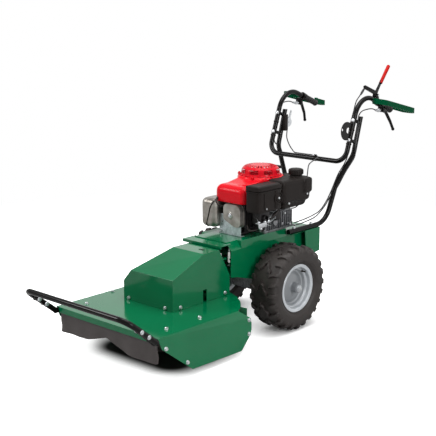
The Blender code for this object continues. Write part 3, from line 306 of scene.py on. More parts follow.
satin_paint, tree, shader, place = finish("satin_grey_enamel", Metallic=0.2, Roughness=0.34, Coat_Weight=0.25)
cloud = add(tree, "TexNoise", {"Scale": 14.0, "Detail": 3.0}, Vector=place).outputs["Fac"]
peel = add(tree, "TexNoise", {"Scale": 420.0, "Detail": 2.0}, Vector=place).outputs["Fac"]
tone = work_in(tree, shader, cloud, "#B4B9BE", "#D0D4D8", relief=(peel, 0.12, 0.0004))
# Painted shade darkens the dish round the hub, thinning out between these radii, in metres.
RECESS_SHADE_EDGE = {"From Min": 0.075, "From Max": 0.105, "To Min": 0.62, "To Max": 0.0}
from_hub = add(tree, "VectorMath", {"operation": "SUBTRACT", 1: at(0, 0, WHEEL_R)}, _0=place)
spoke = add(tree, "SeparateXYZ", (), Vector=from_hub.outputs[0])
flat = add(tree, "CombineXYZ", (), Y=spoke.outputs["Y"], Z=spoke.outputs["Z"])
radius = add(tree, "VectorMath", {"operation": "LENGTH"}, _0=flat.outputs[0])
recess_shade = add(tree, "MapRange", RECESS_SHADE_EDGE, Value=radius.outputs["Value"])
shaded_dish = add(
    tree, "MixRGB", {"Color2": linear("#35373A")}, Fac=recess_shade.outputs["Result"], Color1=tone.outputs["Color"],
)
tree.links.new(shaded_dish.outputs["Color"], shader.inputs["Base Color"])

zinc_plate, tree, shader, place = finish("bright_zinc_plate", Metallic=1.0, Roughness=0.28)
speck = add(tree, "TexNoise", {"Scale": 160.0, "Detail": 4.0}, Vector=place).outputs["Fac"]
work_in(tree, shader, speck, "#B4B8BC", "#E4E6E8", rough=(0.2, 0.4))

for side, sign in SIDES:
    centre = (sign * WHEEL_X, 0, WHEEL_R)
    out = (sign, 0, 0)
    bm = bmesh.new()
    disc = [
        (10.5, 71), (23, 71), (24, 69.5), (24, 41), (27, 36.5), (58, 29), (70, 25), (75, 20.5),
        (84, 21.5), (87, 25), (89, 38), (92, 41), (97.5, 42.5), (99.8, 46), (100.6, 58), (103, 63.2),
        (110, 65.0), (116.8, 66.2), (119.2, 64.8), (117.6, 62.4), (110, 61.2), (105.4, 60.4), (104.6, 56),
        (104.6, -57), (106, -60.4), (117.6, -61.8), (119.2, -64.4), (116.8, -65.6), (103, -63),
        (101.0, -58), (100.6, 8), (96, 13), (84, 16), (60, 22), (27, 31), (24, 27), (24, -40),
        (10.5, -40), (10.5, 71),
    ]
    lathe(bm, soften(disc), centre, out, 72)
    piece(f"rim_pressing_{side}", bm, [satin_paint], f"wheel_{side}", [f"rim_{side}"], 28)

    hub = bmesh.new()
    lathe(hub, [(10, 71.2), (17, 71.2), (17.4, 72), (17.4, 73.6), (16.8, 74.2), (10, 74.2)], centre, out, 32)
    nut_at = Vector(centre) + Vector(out) * 74.2
    hexagon(hub, nut_at, out, 26, 7.6)
    lathe(hub, [(0, 81.0), (8.0, 81.0), (8.0, 82.0), (7.2, 82.8), (0, 82.8)], centre, out, 24)
    lathe(hub, [(9.4, -144), (9.5, -142), (9.5, 70), (9.2, 71), (0, 71)], centre, out, 24)
    piece(f"hub_nut_{side}", hub, [zinc_plate], f"wheel_{side}", [f"axle_shaft_{side}"])

# Tyres: black rubber moulded over a cord carcass, with deep shoulder lugs and a row of chevrons down the
# middle for wet ground. Fresh from the mould they are brown-black and dull, with a gloss that varies in
# patches.
tread_rubber, tree, shader, place = finish(
    "moulded_tyre_rubber", Roughness=0.6, IOR=1.52, Specular_IOR_Level=0.45,
)
mottle = add(tree, "TexNoise", {"Scale": 22.0, "Detail": 5.0}, Vector=place).outputs["Fac"]
grain = add(tree, "TexNoise", {"Scale": 300.0, "Detail": 3.0}, Vector=place).outputs["Fac"]
work_in(tree, shader, mottle, "#1B1716", "#332C29", rough=(0.42, 0.72), relief=(grain, 0.25, 0.0006))

TREAD_PITCHES = 24
CHEVRONS = 12


def lug(bm, sign, angle, stations):
    """One rubber block: each station across the tread has its place, shift, top, foot and two widths."""
    rows = []
    for x, shift, top, foot, wide_top, wide_foot in stations:
        ring = []
        for along, r in (
            (-wide_foot / 2, foot), (-wide_top / 2, top), (wide_top / 2, top), (wide_foot / 2, foot),
        ):
            turn = angle + (shift + along) / r
            y, z = r * math.sin(turn), WHEEL_R + r * math.cos(turn)
            ring.append(bm.verts.new(at(sign * (WHEEL_X + x), y, z)))
        rows.append(ring)
    for a, b in zip(rows, rows[1:]):
        for k in range(3):
            bm.faces.new((a[k], a[k + 1], b[k + 1], b[k]))
    bm.faces.new(rows[0])
    bm.faces.new(reversed(rows[-1]))


for side, sign in SIDES:
    bm = bmesh.new()
    for n in range(TREAD_PITCHES):
        angle = math.tau * n / TREAD_PITCHES
        long_one = n % 2 == 0
        inner = 33 if long_one else 47
        for way in (1, -1):
            turn = angle + (0 if way > 0 else math.pi / TREAD_PITCHES)
            shoulder = [
                (way * inner, -12 if long_one else -5, 210.4, 199, 15, 20),
                (way * 54, 0, 208.8, 197, 17, 22),
                (way * 69, 3, 204.5, 192, 18, 23),
                (way * 77.5, 4, 194, 184, 17, 22),
                (way * 80.5, 4, 182, 174, 15, 20),
                (way * 80.3, 4, 171, 168, 11, 15),
            ]
            lug(bm, sign, turn, shoulder)
    for n in range(CHEVRONS):
        angle = math.tau * (n + 0.25) / CHEVRONS
        for way in (1, -1):
            arm = [
                (way * 1.5, 20, 211.3, 200, 16, 21), (way * 14, 10, 211.2, 200, 16, 21),
                (way * 15, -4, 211.2, 200, 22, 27), (way * 24, -12, 210.8, 199.5, 17, 22),
                (way * 34, -20, 210.2, 199, 14, 19),
            ]
            lug(bm, sign, angle + (0.06 if way < 0 else 0), arm)
    sharp = [e for e in bm.edges if len(e.link_faces) == 2 and e.calc_face_angle(0) > 0.6]
    bmesh.ops.bevel(bm, geom=sharp, offset=0.0011, segments=2, profile=0.6, affect="EDGES")
    wall = [
        (105.2, 47), (105.2, 58.8), (112, 59.8), (118.6, 59.9), (120.5, 62.5), (123, 66.5), (127, 67.2),
        (129, 69.4), (134, 74.5), (141, 77.6), (146, 78.2), (148, 79.4), (152, 79.2), (155, 79.6),
        (165, 80.2), (175, 79.6), (184, 77), (191, 71.5), (196, 63), (199, 50), (201, 30), (201.8, 0),
    ]
    half = soften(wall)
    whole = half + [(r, -z) for r, z in reversed(half[:-1])]
    lathe(bm, whole, (sign * WHEEL_X, 0, WHEEL_R), (sign, 0, 0), 96)
    piece(f"tyre_tread_{side}", bm, [tread_rubber], f"wheel_{side}", [f"tyre_{side}"], 40)
    stem = bmesh.new()
    valve_at = Vector((sign * (WHEEL_X + 38), 60, WHEEL_R + 70))
    lathe(
        stem, [(0, 0), (6, 0), (5, 8), (4, 14), (4.2, 15), (4.2, 24), (3.4, 25), (0, 25)], valve_at,
        (sign, 0, 0), 20,
    )
    piece(f"valve_stem_{side}", stem, [tread_rubber], f"wheel_{side}")

# Green sheet work: main frame, rear shelf, deck, skirt and covers, all folded steel sheet under a thick gloss
# powder coat. It flows out like glass over the folds, with a faint orange-peel ripple, and mirrors what is
# near it.


def powder_coat(name, dark, light, ripple=0.16, rough=0.09, shine=0.3):
    """Gloss powder coat: orange peel about 4 mm across, drawn as coarse as it needs to show."""
    made, tree, shader, place = finish(
        name, Specular_IOR_Level=shine, Coat_Weight=shine / 2, Coat_Roughness=0.04,
    )
    drift = add(tree, "TexNoise", {"Scale": 5.0, "Detail": 3.0}, Vector=place).outputs["Fac"]
    peel = add(tree, "TexNoise", {"Scale": 250.0, "Detail": 1.0}, Vector=place).outputs["Fac"]
    work_in(tree, shader, drift, dark, light, rough=(rough, rough * 2), relief=(peel, ripple, 0.00025))
    return made


green_coat = powder_coat("green_powder_coat", "#005F3A", "#006E44")
# The guards' coat is a darker, duller copy of the green: painted shade, which keeps the guards deep green.
shaded_green_coat = powder_coat("green_powder_coat_painted_shade", "#004529", "#005030", shine=0.02)


def dress(node, material, edge, segments=2):
    """Gives a node of the frame its finish, with its sheared or cast edges just broken."""
    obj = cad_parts[node]
    obj.data.materials.clear()
    obj.data.materials.append(material)
    weld = obj.modifiers.new("Weld", "WELD")
    weld.merge_threshold = 0.00002
    bevel = obj.modifiers.new("Edge", "BEVEL")
    bevel.width = edge * MM
    bevel.segments = segments
    bevel.limit_method = "ANGLE"
    bevel.angle_limit = math.radians(40)
    bevel.harden_normals = True


def slab(bm, outline, plane, middle, thick, edge=0.6):
    """A plate from an outline in one of the planes XY, YZ or XZ, with its cut edges broken."""
    turn = {
        "XY": lambda a, b, c: at(a, b, c),
        "YZ": lambda a, b, c: at(c, a, b),
        "XZ": lambda a, b, c: at(a, c, b),
    }[plane]
    low = [bm.verts.new(turn(a, b, middle - thick / 2)) for a, b in outline]
    high = [bm.verts.new(turn(a, b, middle + thick / 2)) for a, b in outline]
    faces = [bm.faces.new(reversed(low)), bm.faces.new(high)]
    for k in range(len(low)):
        n = (k + 1) % len(low)
        bm.faces.new((low[k], low[n], high[n], high[k]))
    rim = list({e for face in faces for e in face.edges})
    bmesh.ops.bevel(bm, geom=rim, offset=edge * MM, segments=2, profile=0.5, affect="EDGES")


for node in ("main_frame", "rear_shelf", "deck_shell", "rear_skirt", "belt_cover", "pivot_bracket"):
    dress(node, green_coat, 1.0, 3)

# Corner angles: strips of steel welded over the two long folds of the frame beside the engine, which they
# make square. They lie under the same coat.
bm = bmesh.new()
for sign in (1, -1):
    slab(bm, [(sign * 100, 462.2), (sign * 127.5, 462.2), (sign * 131.3, 424)], "XZ", -54, 343, edge=0.8)
piece("frame_corner_angles", bm, [green_coat], "chassis")

# Deck bolts: zinc-plated hexagon bolts on washers hold the deck's side panels, its reinforcements and the
# belt cover. The side panels flare outwards, and their bolts stand square to them.
DECK_TOP = 217.0
DECK_HALF = 331.0
PANEL_HIGH = 184
FLARE = 15


def bolts(name, body, heads, material=zinc_plate):
    """A piece made of hexagon heads, each with its place, direction, width, height and washer."""
    bm = bmesh.new()
    for head in heads:
        hexagon(bm, *head)
    piece(name, bm, [material], body)


heads = []
for sign in (1, -1):
    for y, z in ((-937, 164), (-817, 73), (-406, 159), (-412, 95)):
        stand = DECK_HALF + FLARE * (DECK_TOP - z) / PANEL_HIGH
        heads.append(((sign * stand, y, z), (sign, 0, 0.08), 14, 6.2, 9.5))
for x, y in ((267, -659), (-253, -865), (-310, -655), (267, -865)):
    heads.append(((x, y, DECK_TOP), UP, 14, 6.2, 9.5))
for place_at, way in (
    ((80, -688, 227), FORWARD), ((-159, -688, 226), FORWARD), ((129, -340, 231), ALONG_X),
    ((-193, -340, 231), (-1, 0, 0)), ((129, -640, 229), ALONG_X), ((-193, -640, 229), (-1, 0, 0)),
):
    heads.append((place_at, way, 13, 6.0, 9.0))
bolts("deck_bolts", "deck", heads)

# Pivot bolts: four zinc-plated bolts through the bracket that joins the deck to the frame, and one large
# nut on the end of the shaft that the deck rolls about.
heads = [((x, y, 223.2), UP, 13, 5, 9) for x, y in ((-40, -342), (40, -342), (86, -312), (86, -342))]
bolts("pivot_bolts", "deck", [*heads, ((0, -184.4, 270), ALONG_Y, 24, 6, 0)])

# Brush bar: one inch steel tube bent to a wide hoop, with a gusset welded in each arm and two bolts through
# it. Black gloss powder coat, which shows as dark glass with one long white highlight down the tube.
black_coat = powder_coat("black_powder_coat", "#070606", "#0D0B0B", 0.12, 0.12, 0.14)
TUBE_R = 12.7


def bend(corners, radii, step=8.0):
    """A line through the corners, in millimetres, with an arc of the given radius at each inner one."""
    corners = [Vector(c) for c in corners]
    path = [corners[0]]
    for before, here, after, r in zip(corners, corners[1:], corners[2:], radii):
        u, v = (before - here).normalized(), (after - here).normalized()
        half = u.angle(v) / 2
        sweep_angle = math.pi - 2 * half
        middle = here + (u + v).normalized() * r / math.sin(half)
        first = here + u * r / math.tan(half) - middle
        axis = first.cross(here + v * r / math.tan(half) - middle).normalized()
        count = max(2, round(math.degrees(sweep_angle) / step))
        path += [middle + Matrix.Rotation(sweep_angle * k / count, 3, axis) @ first for k in range(count + 1)]
    return [*path, corners[-1]]


def pipe(bm, path, radius, sides):
    """A round bar along a line in millimetres; radius is one number or one for each point."""
    points = [at(*p) for p in path]
    radii = radius if isinstance(radius, list) else [radius] * len(points)
    spin = [math.tau * k / sides for k in range(sides)]
    across = (points[1] - points[0]).orthogonal().normalized()
    rings = []
    for i, (here, r) in enumerate(zip(points, radii)):
        ahead = (points[min(i + 1, len(points) - 1)] - points[max(i - 1, 0)]).normalized()
        across = (across - ahead * across.dot(ahead)).normalized()
        other = ahead.cross(across)
        outward = [across * math.cos(a) + other * math.sin(a) for a in spin]
        rings.append([bm.verts.new(here + way * r * MM) for way in outward])
    for low, high in zip(rings, rings[1:]):
        for k in range(sides):
            n = (k + 1) % sides
            bm.faces.new((low[k], low[n], high[n], high[k]))
    bm.faces.new(reversed(rings[0]))
    bm.faces.new(rings[-1])


bar_x = DECK_HALF + 4
foot = (-988, 203)
hoop = bend([(bar_x, *foot), (bar_x, -1150, 333), (-bar_x, -1150, 333), (-bar_x, *foot)], (55, 55), 5)
bm = bmesh.new()
pipe(bm, hoop, TUBE_R, 28)
arm_bolts = ((-1083, 276), (-1043, 245))
gusset = [(-1104, 304), (-1112, 292), (-996, 189), (-930, 189), (-930, 213), (-987, 213)]
for sign in (1, -1):
    slab(bm, gusset, "YZ", sign * (bar_x - TUBE_R - 1.5), 7)
    for y, z in arm_bolts:
        boss_at = (sign * (bar_x + TUBE_R - 4.5), y, z)
        lathe(bm, [(0, 0), (11, 0), (11.5, 3), (11.5, 5), (0, 5)], boss_at, (sign, 0, 0), 24)
piece("brush_hoop", bm, [black_coat], "deck", ["brush_bar"])
heads = []
for sign in (1, -1):
    for y, z in arm_bolts:
        heads.append(((sign * (bar_x + TUBE_R - 1.4), y, z), (sign, 0, 0), 15, 4.4, 10.6))
        heads.append(((sign * (bar_x - TUBE_R - 5), y, z), (-sign, 0, 0), 15, 6.5, 10))
bolts("brush_bar_bolts", "deck", heads)

# Front flap: a strip of fabric-backed conveyor rubber that hangs from a rod and is cut up in a shallow V in
# the middle. It keeps the waves it was rolled in, and its cloth backing dulls it to a warm dark grey.
belting, tree, shader, place = finish("fabric_backed_rubber", Roughness=0.62, Sheen_Weight=0.12)
stain = add(tree, "TexNoise", {"Scale": 9.0, "Detail": 6.0, "Roughness": 0.6}, Vector=place).outputs["Fac"]
# Warp and weft every 6 mm, about four times as coarse as the real cloth, so that it shows.
warp = add(tree, "TexWave", {"wave_type": "BANDS", "bands_direction": "X", "Scale": 52.0}, Vector=place)
weft = add(tree, "TexWave", {"wave_type": "BANDS", "bands_direction": "Z", "Scale": 52.0}, Vector=place)
weave = add(
    tree, "Math", {"operation": "MULTIPLY"}, _0=warp.outputs["Fac"], _1=weft.outputs["Fac"],
).outputs[0]
work_in(tree, shader, stain, "#332D2B", "#484140", relief=(weave, 0.3, 0.0005))

FLAP_HALF = DECK_HALF - 19
FLAP_Y = -964.0
FLAP_Z = 194.0
lower_edge = [(-FLAP_HALF, 96), (-126, 104), (-5, 139), (133, 97), (FLAP_HALF - 6, 94), (FLAP_HALF, 97)]


def flap_foot(x):
    """The height of the flap's lower edge, which is cut straight from one of its corners to the next."""
    for (xa, za), (xb, zb) in zip(lower_edge, lower_edge[1:]):
        if xa <= x <= xb:
            return za + (zb - za) * (x - xa) / (xb - xa)
    return lower_edge[-1][1]


bm = bmesh.new()
columns, rows_down = 78, 14
for face_y in (-3.0, 3.0):
    grid = []
    for i in range(columns + 1):
        x = -FLAP_HALF + 2 * FLAP_HALF * i / columns
        line = []
        for j in range(rows_down + 1):
            drop = j / rows_down
            z = FLAP_Z - 3 + (flap_foot(x) - FLAP_Z + 3) * drop
            wave = drop * (3.6 * math.sin(x / 47 + 0.6) + 1.6 * math.sin(x / 19 + 2))
            end = drop * 5 * math.exp(-(FLAP_HALF - abs(x)) / 26)
            curl = end * 0.6 * math.sin(z / 9) if abs(x) > 300 else 0
            line.append(bm.verts.new(at(x + curl, FLAP_Y - 3 + face_y * 0.9 + wave + end, z)))
        grid.append(line)
    for a, b in zip(grid, grid[1:]):
        for k in range(rows_down):
            bm.faces.new((a[k], b[k], b[k + 1], a[k + 1]))
bmesh.ops.bridge_loops(bm, edges=[e for e in bm.edges if e.is_boundary])
pipe(bm, [(-FLAP_HALF + 1, FLAP_Y, FLAP_Z), (FLAP_HALF - 1, FLAP_Y, FLAP_Z)], 9, 20)
piece("front_flap_rubber", bm, [belting], "flap", ["front_flap"], 50)

# Engine castings: the crankcase is die-cast aluminium left as cast, a dull grey with a fine sandy grain. The
# cylinder and its head are painted satin black against the heat.
cast_alloy, tree, shader, place = finish("die_cast_aluminium", Metallic=0.85, Roughness=0.46)
sand = add(tree, "TexNoise", {"Scale": 90.0, "Detail": 6.0, "Roughness": 0.7}, Vector=place).outputs["Fac"]
# The sand-blasted die leaves a grain of about 0.6 mm; it is drawn at 1.5 mm.
grain = add(tree, "TexNoise", {"Scale": 700.0, "Detail": 2.0}, Vector=place).outputs["Fac"]
work_in(tree, shader, sand, "#5C5D60", "#A2A3A6", ends=(0.3, 0.7), relief=(grain, 0.35, 0.0004))


def block(bm, x, y, z, edge, segments=3, only=None):
    """A cast or moulded block between limits in millimetres; only keeps the rounding to one direction."""
    low, high = (at(x[i], y[i], z[i]) for i in (0, 1))
    made = bmesh.ops.create_cube(bm, size=1.0)["verts"]
    bmesh.ops.scale(bm, vec=high - low, verts=made)
    bmesh.ops.translate(bm, vec=(low + high) / 2, verts=made)
    edges = {e for v in made for e in v.link_edges}
    faces = {f for v in made for f in v.link_faces}
    if only:
        k = "xyz".index(only)
        edges = {e for e in edges if abs((e.verts[0].co - e.verts[1].co).normalized()[k]) > 0.9}
    bmesh.ops.bevel(bm, geom=list(edges), offset=edge * MM, segments=segments, profile=0.5, affect="EDGES")
    if only:
        rest = {e for f in faces if f.is_valid for e in f.edges if e.calc_face_angle(0) > 0.8}
        bmesh.ops.bevel(bm, geom=list(rest), offset=0.8 * MM, segments=1, profile=0.5, affect="EDGES")


engine_paint, tree, shader, place = finish("satin_black_engine_paint", Specular_IOR_Level=0.25)
haze = add(tree, "TexNoise", {"Scale": 40.0, "Detail": 4.0}, Vector=place).outputs["Fac"]
work_in(tree, shader, haze, "#151314", "#262324", rough=(0.3, 0.5), relief=(haze, 0.25, 0.0003))

CRANK_Y = 68.0
CRANK = (0, CRANK_Y)
BASE = 462.3
case_feet = ((-96, -22), (100, -22), (-96, 182), (100, 182))
bm = bmesh.new()
block(bm, (-104, 108), (-24, 188), (BASE, 552), 14, 5, only="z")
block(bm, (-112, 118), (-34, 196), (BASE, BASE + 9), 16, 5, only="z")
block(bm, (-90, 96), (-10, 160), (550, 625.6), 12, 4, only="z")
for y in range(-10, 180, 17):
    block(bm, (106, 116), (y, y + 3.2), (471, 548), 1.2, 2)
    block(bm, (-112, -102), (y, y + 3.2), (471, 548), 1.2, 2)
for x in range(-88, 100, 20):
    block(bm, (x, x + 3.2), (186, 194), (471, 545), 1.2, 2)
for x, y in case_feet:
    lathe(bm, [(0, 0), (13, 0), (12, 15), (11, 16), (0, 16)], (x, y, BASE + 7), UP, 24)
lathe(bm, [(17, 0), (17, 14), (15, 17), (0, 17)], (108, 40, 505), ALONG_X, 32)
lathe(bm, [(9, 0), (9, 6), (7, 7), (0, 7)], (116, 96, 488), ALONG_X, 24)
piece("crankcase_casting", bm, [cast_alloy], "chassis", ["engine_block"], 30)

bm = bmesh.new()
block(bm, (-60, 60), (-168, 0), (BASE, 475), 4)
block(bm, (0, 60), (-120, -20), (470, 520), 4)
block(bm, (-20, 84), (-150, -20), (520, 610), 10, 3)
for n in range(9):
    y = -146 + n * 12.5
    inset = 0 if n % 2 else 3
    block(bm, (-41 + inset, 105 - inset), (y, y + 2.6), (503 + inset, 627 - inset), 1.0, 1)
block(bm, (-34, 98), (-164, -152), (509, 621), 4)
piece("cylinder_casting", bm, [engine_paint], "chassis", smooth=30)

heads = [((x, y, BASE + 23), UP, 13, 6, 9) for x, y in case_feet]
heads += [((108, y, z), ALONG_X, 10, 11, 7) for y, z in ((118, 540), (4, 540), (160, 478))]
bolts("engine_bolts", "chassis", heads)

# Valve cover and muffler: pressed from aluminised sheet steel. The coating is a satin warm grey that varies
# a little in tone.


def sheet_metal(name, dark, light, metallic, rough):
    """Pressed sheet with a coating; its roll marks are drawn 2 mm apart, as coarse as they need to show."""
    made, tree, shader, place = finish(name, Metallic=metallic)
    drift = add(tree, "TexNoise", {"Scale": 26.0, "Detail": 5.0}, Vector=place).outputs["Fac"]
    roll = add(tree, "TexNoise", {"Scale": 500.0, "Detail": 2.0}, Vector=place).outputs["Fac"]
    spread = (rough * 0.8, rough * 1.3)
    work_in(tree, shader, drift, dark, light, rough=spread, ends=(0.3, 0.7), relief=(roll, 0.15, 0.0003))
    return made


def melt(bm, name, size, rounds):
    """Runs blocks together into one soft shape: voxels of the size in millimetres, then smoothed."""
    data = bpy.data.meshes.new(name)
    bm.to_mesh(data)
    bm.free()
    shape = bpy.data.objects.new(name, data)
    scene.collection.objects.link(shape)
    voxels = shape.modifiers.new("Voxels", "REMESH")
    voxels.mode = "VOXEL"
    voxels.voxel_size = size * MM
    smooth = shape.modifiers.new("Smooth", "SMOOTH")
    smooth.iterations = rounds
    smooth.factor = 0.5
    bpy.context.view_layer.update()
    result = bmesh.new()
    result.from_object(shape, bpy.context.evaluated_depsgraph_get())
    bpy.data.objects.remove(shape, do_unlink=True)
    return result


aluminised = sheet_metal("aluminised_sheet", "#7C766F", "#A8A49E", 0.9, 0.34)

cover = bend(
    [(-14, 0, 585), (-14, 0, 622), (98, 0, 622), (98, 0, 509), (58, 0, 509), (-14, 0, 542), (-14, 0, 585)],
    (24, 36, 22, 26, 20), 6,
)[:-1]
bm = bmesh.new()
slab(bm, [(p.x, p.z) for p in cover], "XZ", -167, 5, edge=1.4)
slab(bm, [(42 + (p.x - 42) * 0.96, 566 + (p.z - 566) * 0.96) for p in cover], "XZ", -181, 30, edge=12)
lathe(
    bm, [(8, -2), (8, 0.4), (11, 2), (15, 2.2), (19, 0.6), (21, -2)], (32, -195.4, 565), FORWARD, 40,
    closed=True,
)
piece("valve_cover_pressing", bm, [aluminised], "chassis", ["valve_cover"], 50)
bolts("valve_cover_bolt", "chassis", [((32, -195.6, 565), FORWARD, 12, 6, 10)])

# Muffler: two pressed halves of the same sheet, rounded like a cushion and crimped together. The heat has
# burnt the seam dark, and a short pipe joins it to the cylinder.
burnt_steel = sheet_metal("burnt_steel_seam", "#1E1A18", "#332D29", 0.6, 0.5)
bm = bmesh.new()
block(bm, (-148, -49), (-215, -97), (491, 635), 27, 6)
bm = melt(bm, "muffler_form", 3.2, 3)
pipe(bm, [(-60, -120, 566), (-42.4, -120, 566)], 14, 24)
piece("muffler_shells", bm, [aluminised], "chassis", ["muffler"], 60)
bm = bmesh.new()
seam = [
    (-56, -112, 636), (-57, -214, 634), (-82, -216, 590), (-93, -216, 548), (-110, -213, 493),
    (-110, -112, 490),
]
pipe(bm, bend(seam, (24, 40, 60, 22)), 2.8, 10)
piece("muffler_seam", bm, [burnt_steel], "chassis")

# Heat plate: hot-dip galvanised sheet, bent up in front of the engine. The zinc freezes in flat crystals
# about 9 mm across, which differ a little in tone and in gloss.
galvanised, tree, shader, place = finish("galvanised_sheet", Metallic=0.55, Roughness=0.42)
crystal = add(tree, "TexVoronoi", {"Scale": 110.0, "Randomness": 1.0}, Vector=place).outputs["Color"]
work_in(tree, shader, crystal, "#A3ADB1", "#D3DBDF", rough=(0.3, 0.5))
bm = bmesh.new()
block(bm, (-57, 82), (-174, -150), (BASE, BASE + 2), 0.6, 2)
panel = [
    (-57, BASE), (82, BASE), (82, 520), (20, 534), (-16, 548), (-30, 556), (-38, 562), (-52, 562),
    (-57, 556),
]
slab(bm, panel, "XZ", -173, 2.0)
piece("heat_plate_sheet", bm, [galvanised], "chassis", ["heat_plate"])
bm = bmesh.new()
hexagon(bm, (-44, -174, 476), FORWARD, 9, 3, 7)
lathe(bm, [(0, 0), (3.4, 0), (3.4, 0.5), (0, 0.6)], (-37, -174, 523), FORWARD, 20, index=1)
piece("heat_plate_screw_and_hole", bm, [zinc_plate, engine_paint], "chassis")

# Blower housing: deep-drawn sheet steel in bright red stoving enamel. The drum round the flywheel runs down
# and forward over the cylinder in one soft shape, so its highlights bend without a break.


def enamel(name, dark, light, rough, coat):
    """A smooth glossy colour; it waves a little every 3 mm, so that its highlights tremble."""
    made, tree, shader, place = finish(
        name, Roughness=rough, Coat_Weight=coat, Coat_Roughness=0.03, Specular_IOR_Level=0.1,
    )
    drift = add(tree, "TexNoise", {"Scale": 8.0, "Detail": 2.0}, Vector=place).outputs["Fac"]
    peel = add(tree, "TexNoise", {"Scale": 330.0, "Detail": 1.0}, Vector=place).outputs["Fac"]
    work_in(tree, shader, drift, dark, light, relief=(peel, 0.1, 0.0002))
    return made


red_enamel = enamel("red_stoving_enamel", "#C80E1B", "#D81321", 0.2, 0.04)
BLOWER_FOOT, BLOWER_TOP = 624, 728
bm = bmesh.new()
lathe(bm, [(0, 600), (115, 600), (115, 722), (112, 728.5), (0, 728.5)], (*CRANK, 0), UP, 64)
block(bm, (-85, 111), (-185, 60), (600, 706), 34, 6)
ramp = [(-150, 700), (20, 728), (60, 728), (60, 650), (-150, 650)]
slab(bm, ramp, "YZ", 10, 150, edge=8)
bm = melt(bm, "blower_form", 4.0, 6)
form = [*bm.verts, *bm.edges, *bm.faces]
bmesh.ops.bisect_plane(bm, geom=form, plane_co=at(0, 0, BLOWER_FOOT), plane_no=(0, 0, -1), clear_outer=True)
# Its top is open round the flywheel, under the starter's cover.
eye_at = at(0, CRANK_Y, BLOWER_TOP)
eye = []
for face in bm.faces:
    mid = face.calc_center_median()
    if face.normal.z > 0.7 and (mid.xy - eye_at.xy).length < 80 * MM and mid.z > 710 * MM:
        eye.append(face)
bmesh.ops.delete(bm, geom=eye, context="FACES")
bmesh.ops.solidify(bm, geom=list(bm.faces), thickness=1.6 * MM)
piece("blower_housing", bm, [red_enamel], "chassis", ["engine_shroud"], 50)

screws = (((40, -40, 726), UP), ((-66, -20, 716), UP), ((-84, -120, 660), (-1, 0, 0)))
heads = [(place_at, way, 10, 4.5, 8) for place_at, way in screws]
bolts("blower_screws", "chassis", heads, red_enamel)

# Recoil starter cover: injection-moulded in glossy red plastic, a shallow drum with a ring of slots in its
# top and louvred windows round its side, through which the fan draws its air. Three screws hold its feet.
red_plastic = enamel("glossy_red_plastic", "#BE0E1D", "#D21526", 0.26, 0.05)
black_moulding, tree, shader, place = finish("textured_black_plastic", Specular_IOR_Level=0.12)
speckle = add(tree, "TexNoise", {"Scale": 30.0, "Detail": 3.0}, Vector=place).outputs["Fac"]
# Spark-eroded mould texture of about 0.3 mm, drawn at 1.2 mm so that it breaks the highlight.
leather = add(tree, "TexNoise", {"Scale": 850.0, "Detail": 2.0}, Vector=place).outputs["Fac"]
work_in(tree, shader, speckle, "#161211", "#231E1C", rough=(0.34, 0.52), relief=(leather, 0.25, 0.0003))

COVER_STEPS = 144
bm = bmesh.new()
dome = [
    (98.4, 730.4), (98.4, 734), (97.2, 737), (96.6, 741), (95.8, 746), (95.0, 751), (94.0, 756),
    (92.0, 760.5), (88, 765.5), (84, 769), (80, 772), (73, 774.6), (66, 776), (58, 777), (50, 777.3),
    (44, 777.5), (30, 777.8), (14, 778), (0, 778),
]
lathe(bm, dome, (*CRANK, 0), UP, COVER_STEPS)
# Of every five steps round, two are open as a slot between these radii; of every eighteen, eleven are open
# as a window between these heights.
SLOT_IN, SLOT_OUT = 50, 80
WINDOW_LOW, WINDOW_HIGH = 741 * MM, 760.5 * MM
axis_at = at(*CRANK, 0)
gone = []
for face in bm.faces:
    mid = face.calc_center_median()
    r = (mid.xy - axis_at.xy).length / MM
    bearing = math.degrees(math.atan2(mid.y - axis_at.y, mid.x - axis_at.x))
    sector = round(bearing * COVER_STEPS / 360 - 0.5)
    in_slot = SLOT_IN < r < SLOT_OUT and sector % 5 in (0, 1)
    in_window = WINDOW_LOW < mid.z < WINDOW_HIGH and r > 90 and sector % 18 in range(2, 13)
    if in_slot or in_window:
        gone.append(face)
bmesh.ops.delete(bm, geom=gone, context="FACES")
bmesh.ops.solidify(bm, geom=list(bm.faces), thickness=2.4 * MM)
lathe(
    bm, [(96, 730.3), (104, 730.3), (104.4, 731.4), (103.4, 732.6), (96, 732.8)], (*CRANK, 0), UP, 72,
    closed=True,
)


def around(centre, r, angle, z):
    """A place on a circle about an upright axis."""
    return (centre[0] + r * math.cos(angle), centre[1] + r * math.sin(angle), z)


LOUVRE_RING, FOOT_RING = 93.6, 106
for k in range(8):
    for z in (744.6, 749.6, 754.6):
        blade = [around(CRANK, LOUVRE_RING, math.radians(45 * k + 4.5 + n * 4.6), z) for n in range(7)]
        pipe(bm, blade, 1.1, 6)
feet = [math.radians(120 * k + 100) for k in range(3)]
for a in feet:
    lathe(bm, [(8, 730.4), (8, 735), (7, 736.5), (0, 736.5)], around(CRANK, FOOT_RING, a, 0), UP, 24)
piece("recoil_cover_moulding", bm, [red_plastic], "chassis", ["recoil_cover"], 40)

heads = [(around(CRANK, FOOT_RING, a, 736.3), UP, 9, 4.5, 7) for a in feet]
bolts("recoil_screws", "chassis", heads, red_enamel)

# Fan screen: a dark spoked disc that is seen through the cover's slots, moulded in the same black plastic
# and fixed on the flywheel. The flywheel under it is a casting, left as cast.
bm = bmesh.new()
lathe(bm, [(0, 700), (80, 700), (81, 701), (80, 702), (0, 702)], (*CRANK, 0), UP, 48)
for k in range(16):
    a = math.tau * k / 16
    pipe(bm, [around(CRANK, r, a, 703) for r in (30, 77)], 1.6, 6)
piece("fan_screen", bm, [black_moulding], "crankshaft")
dress("flywheel", cast_alloy, 0.6)

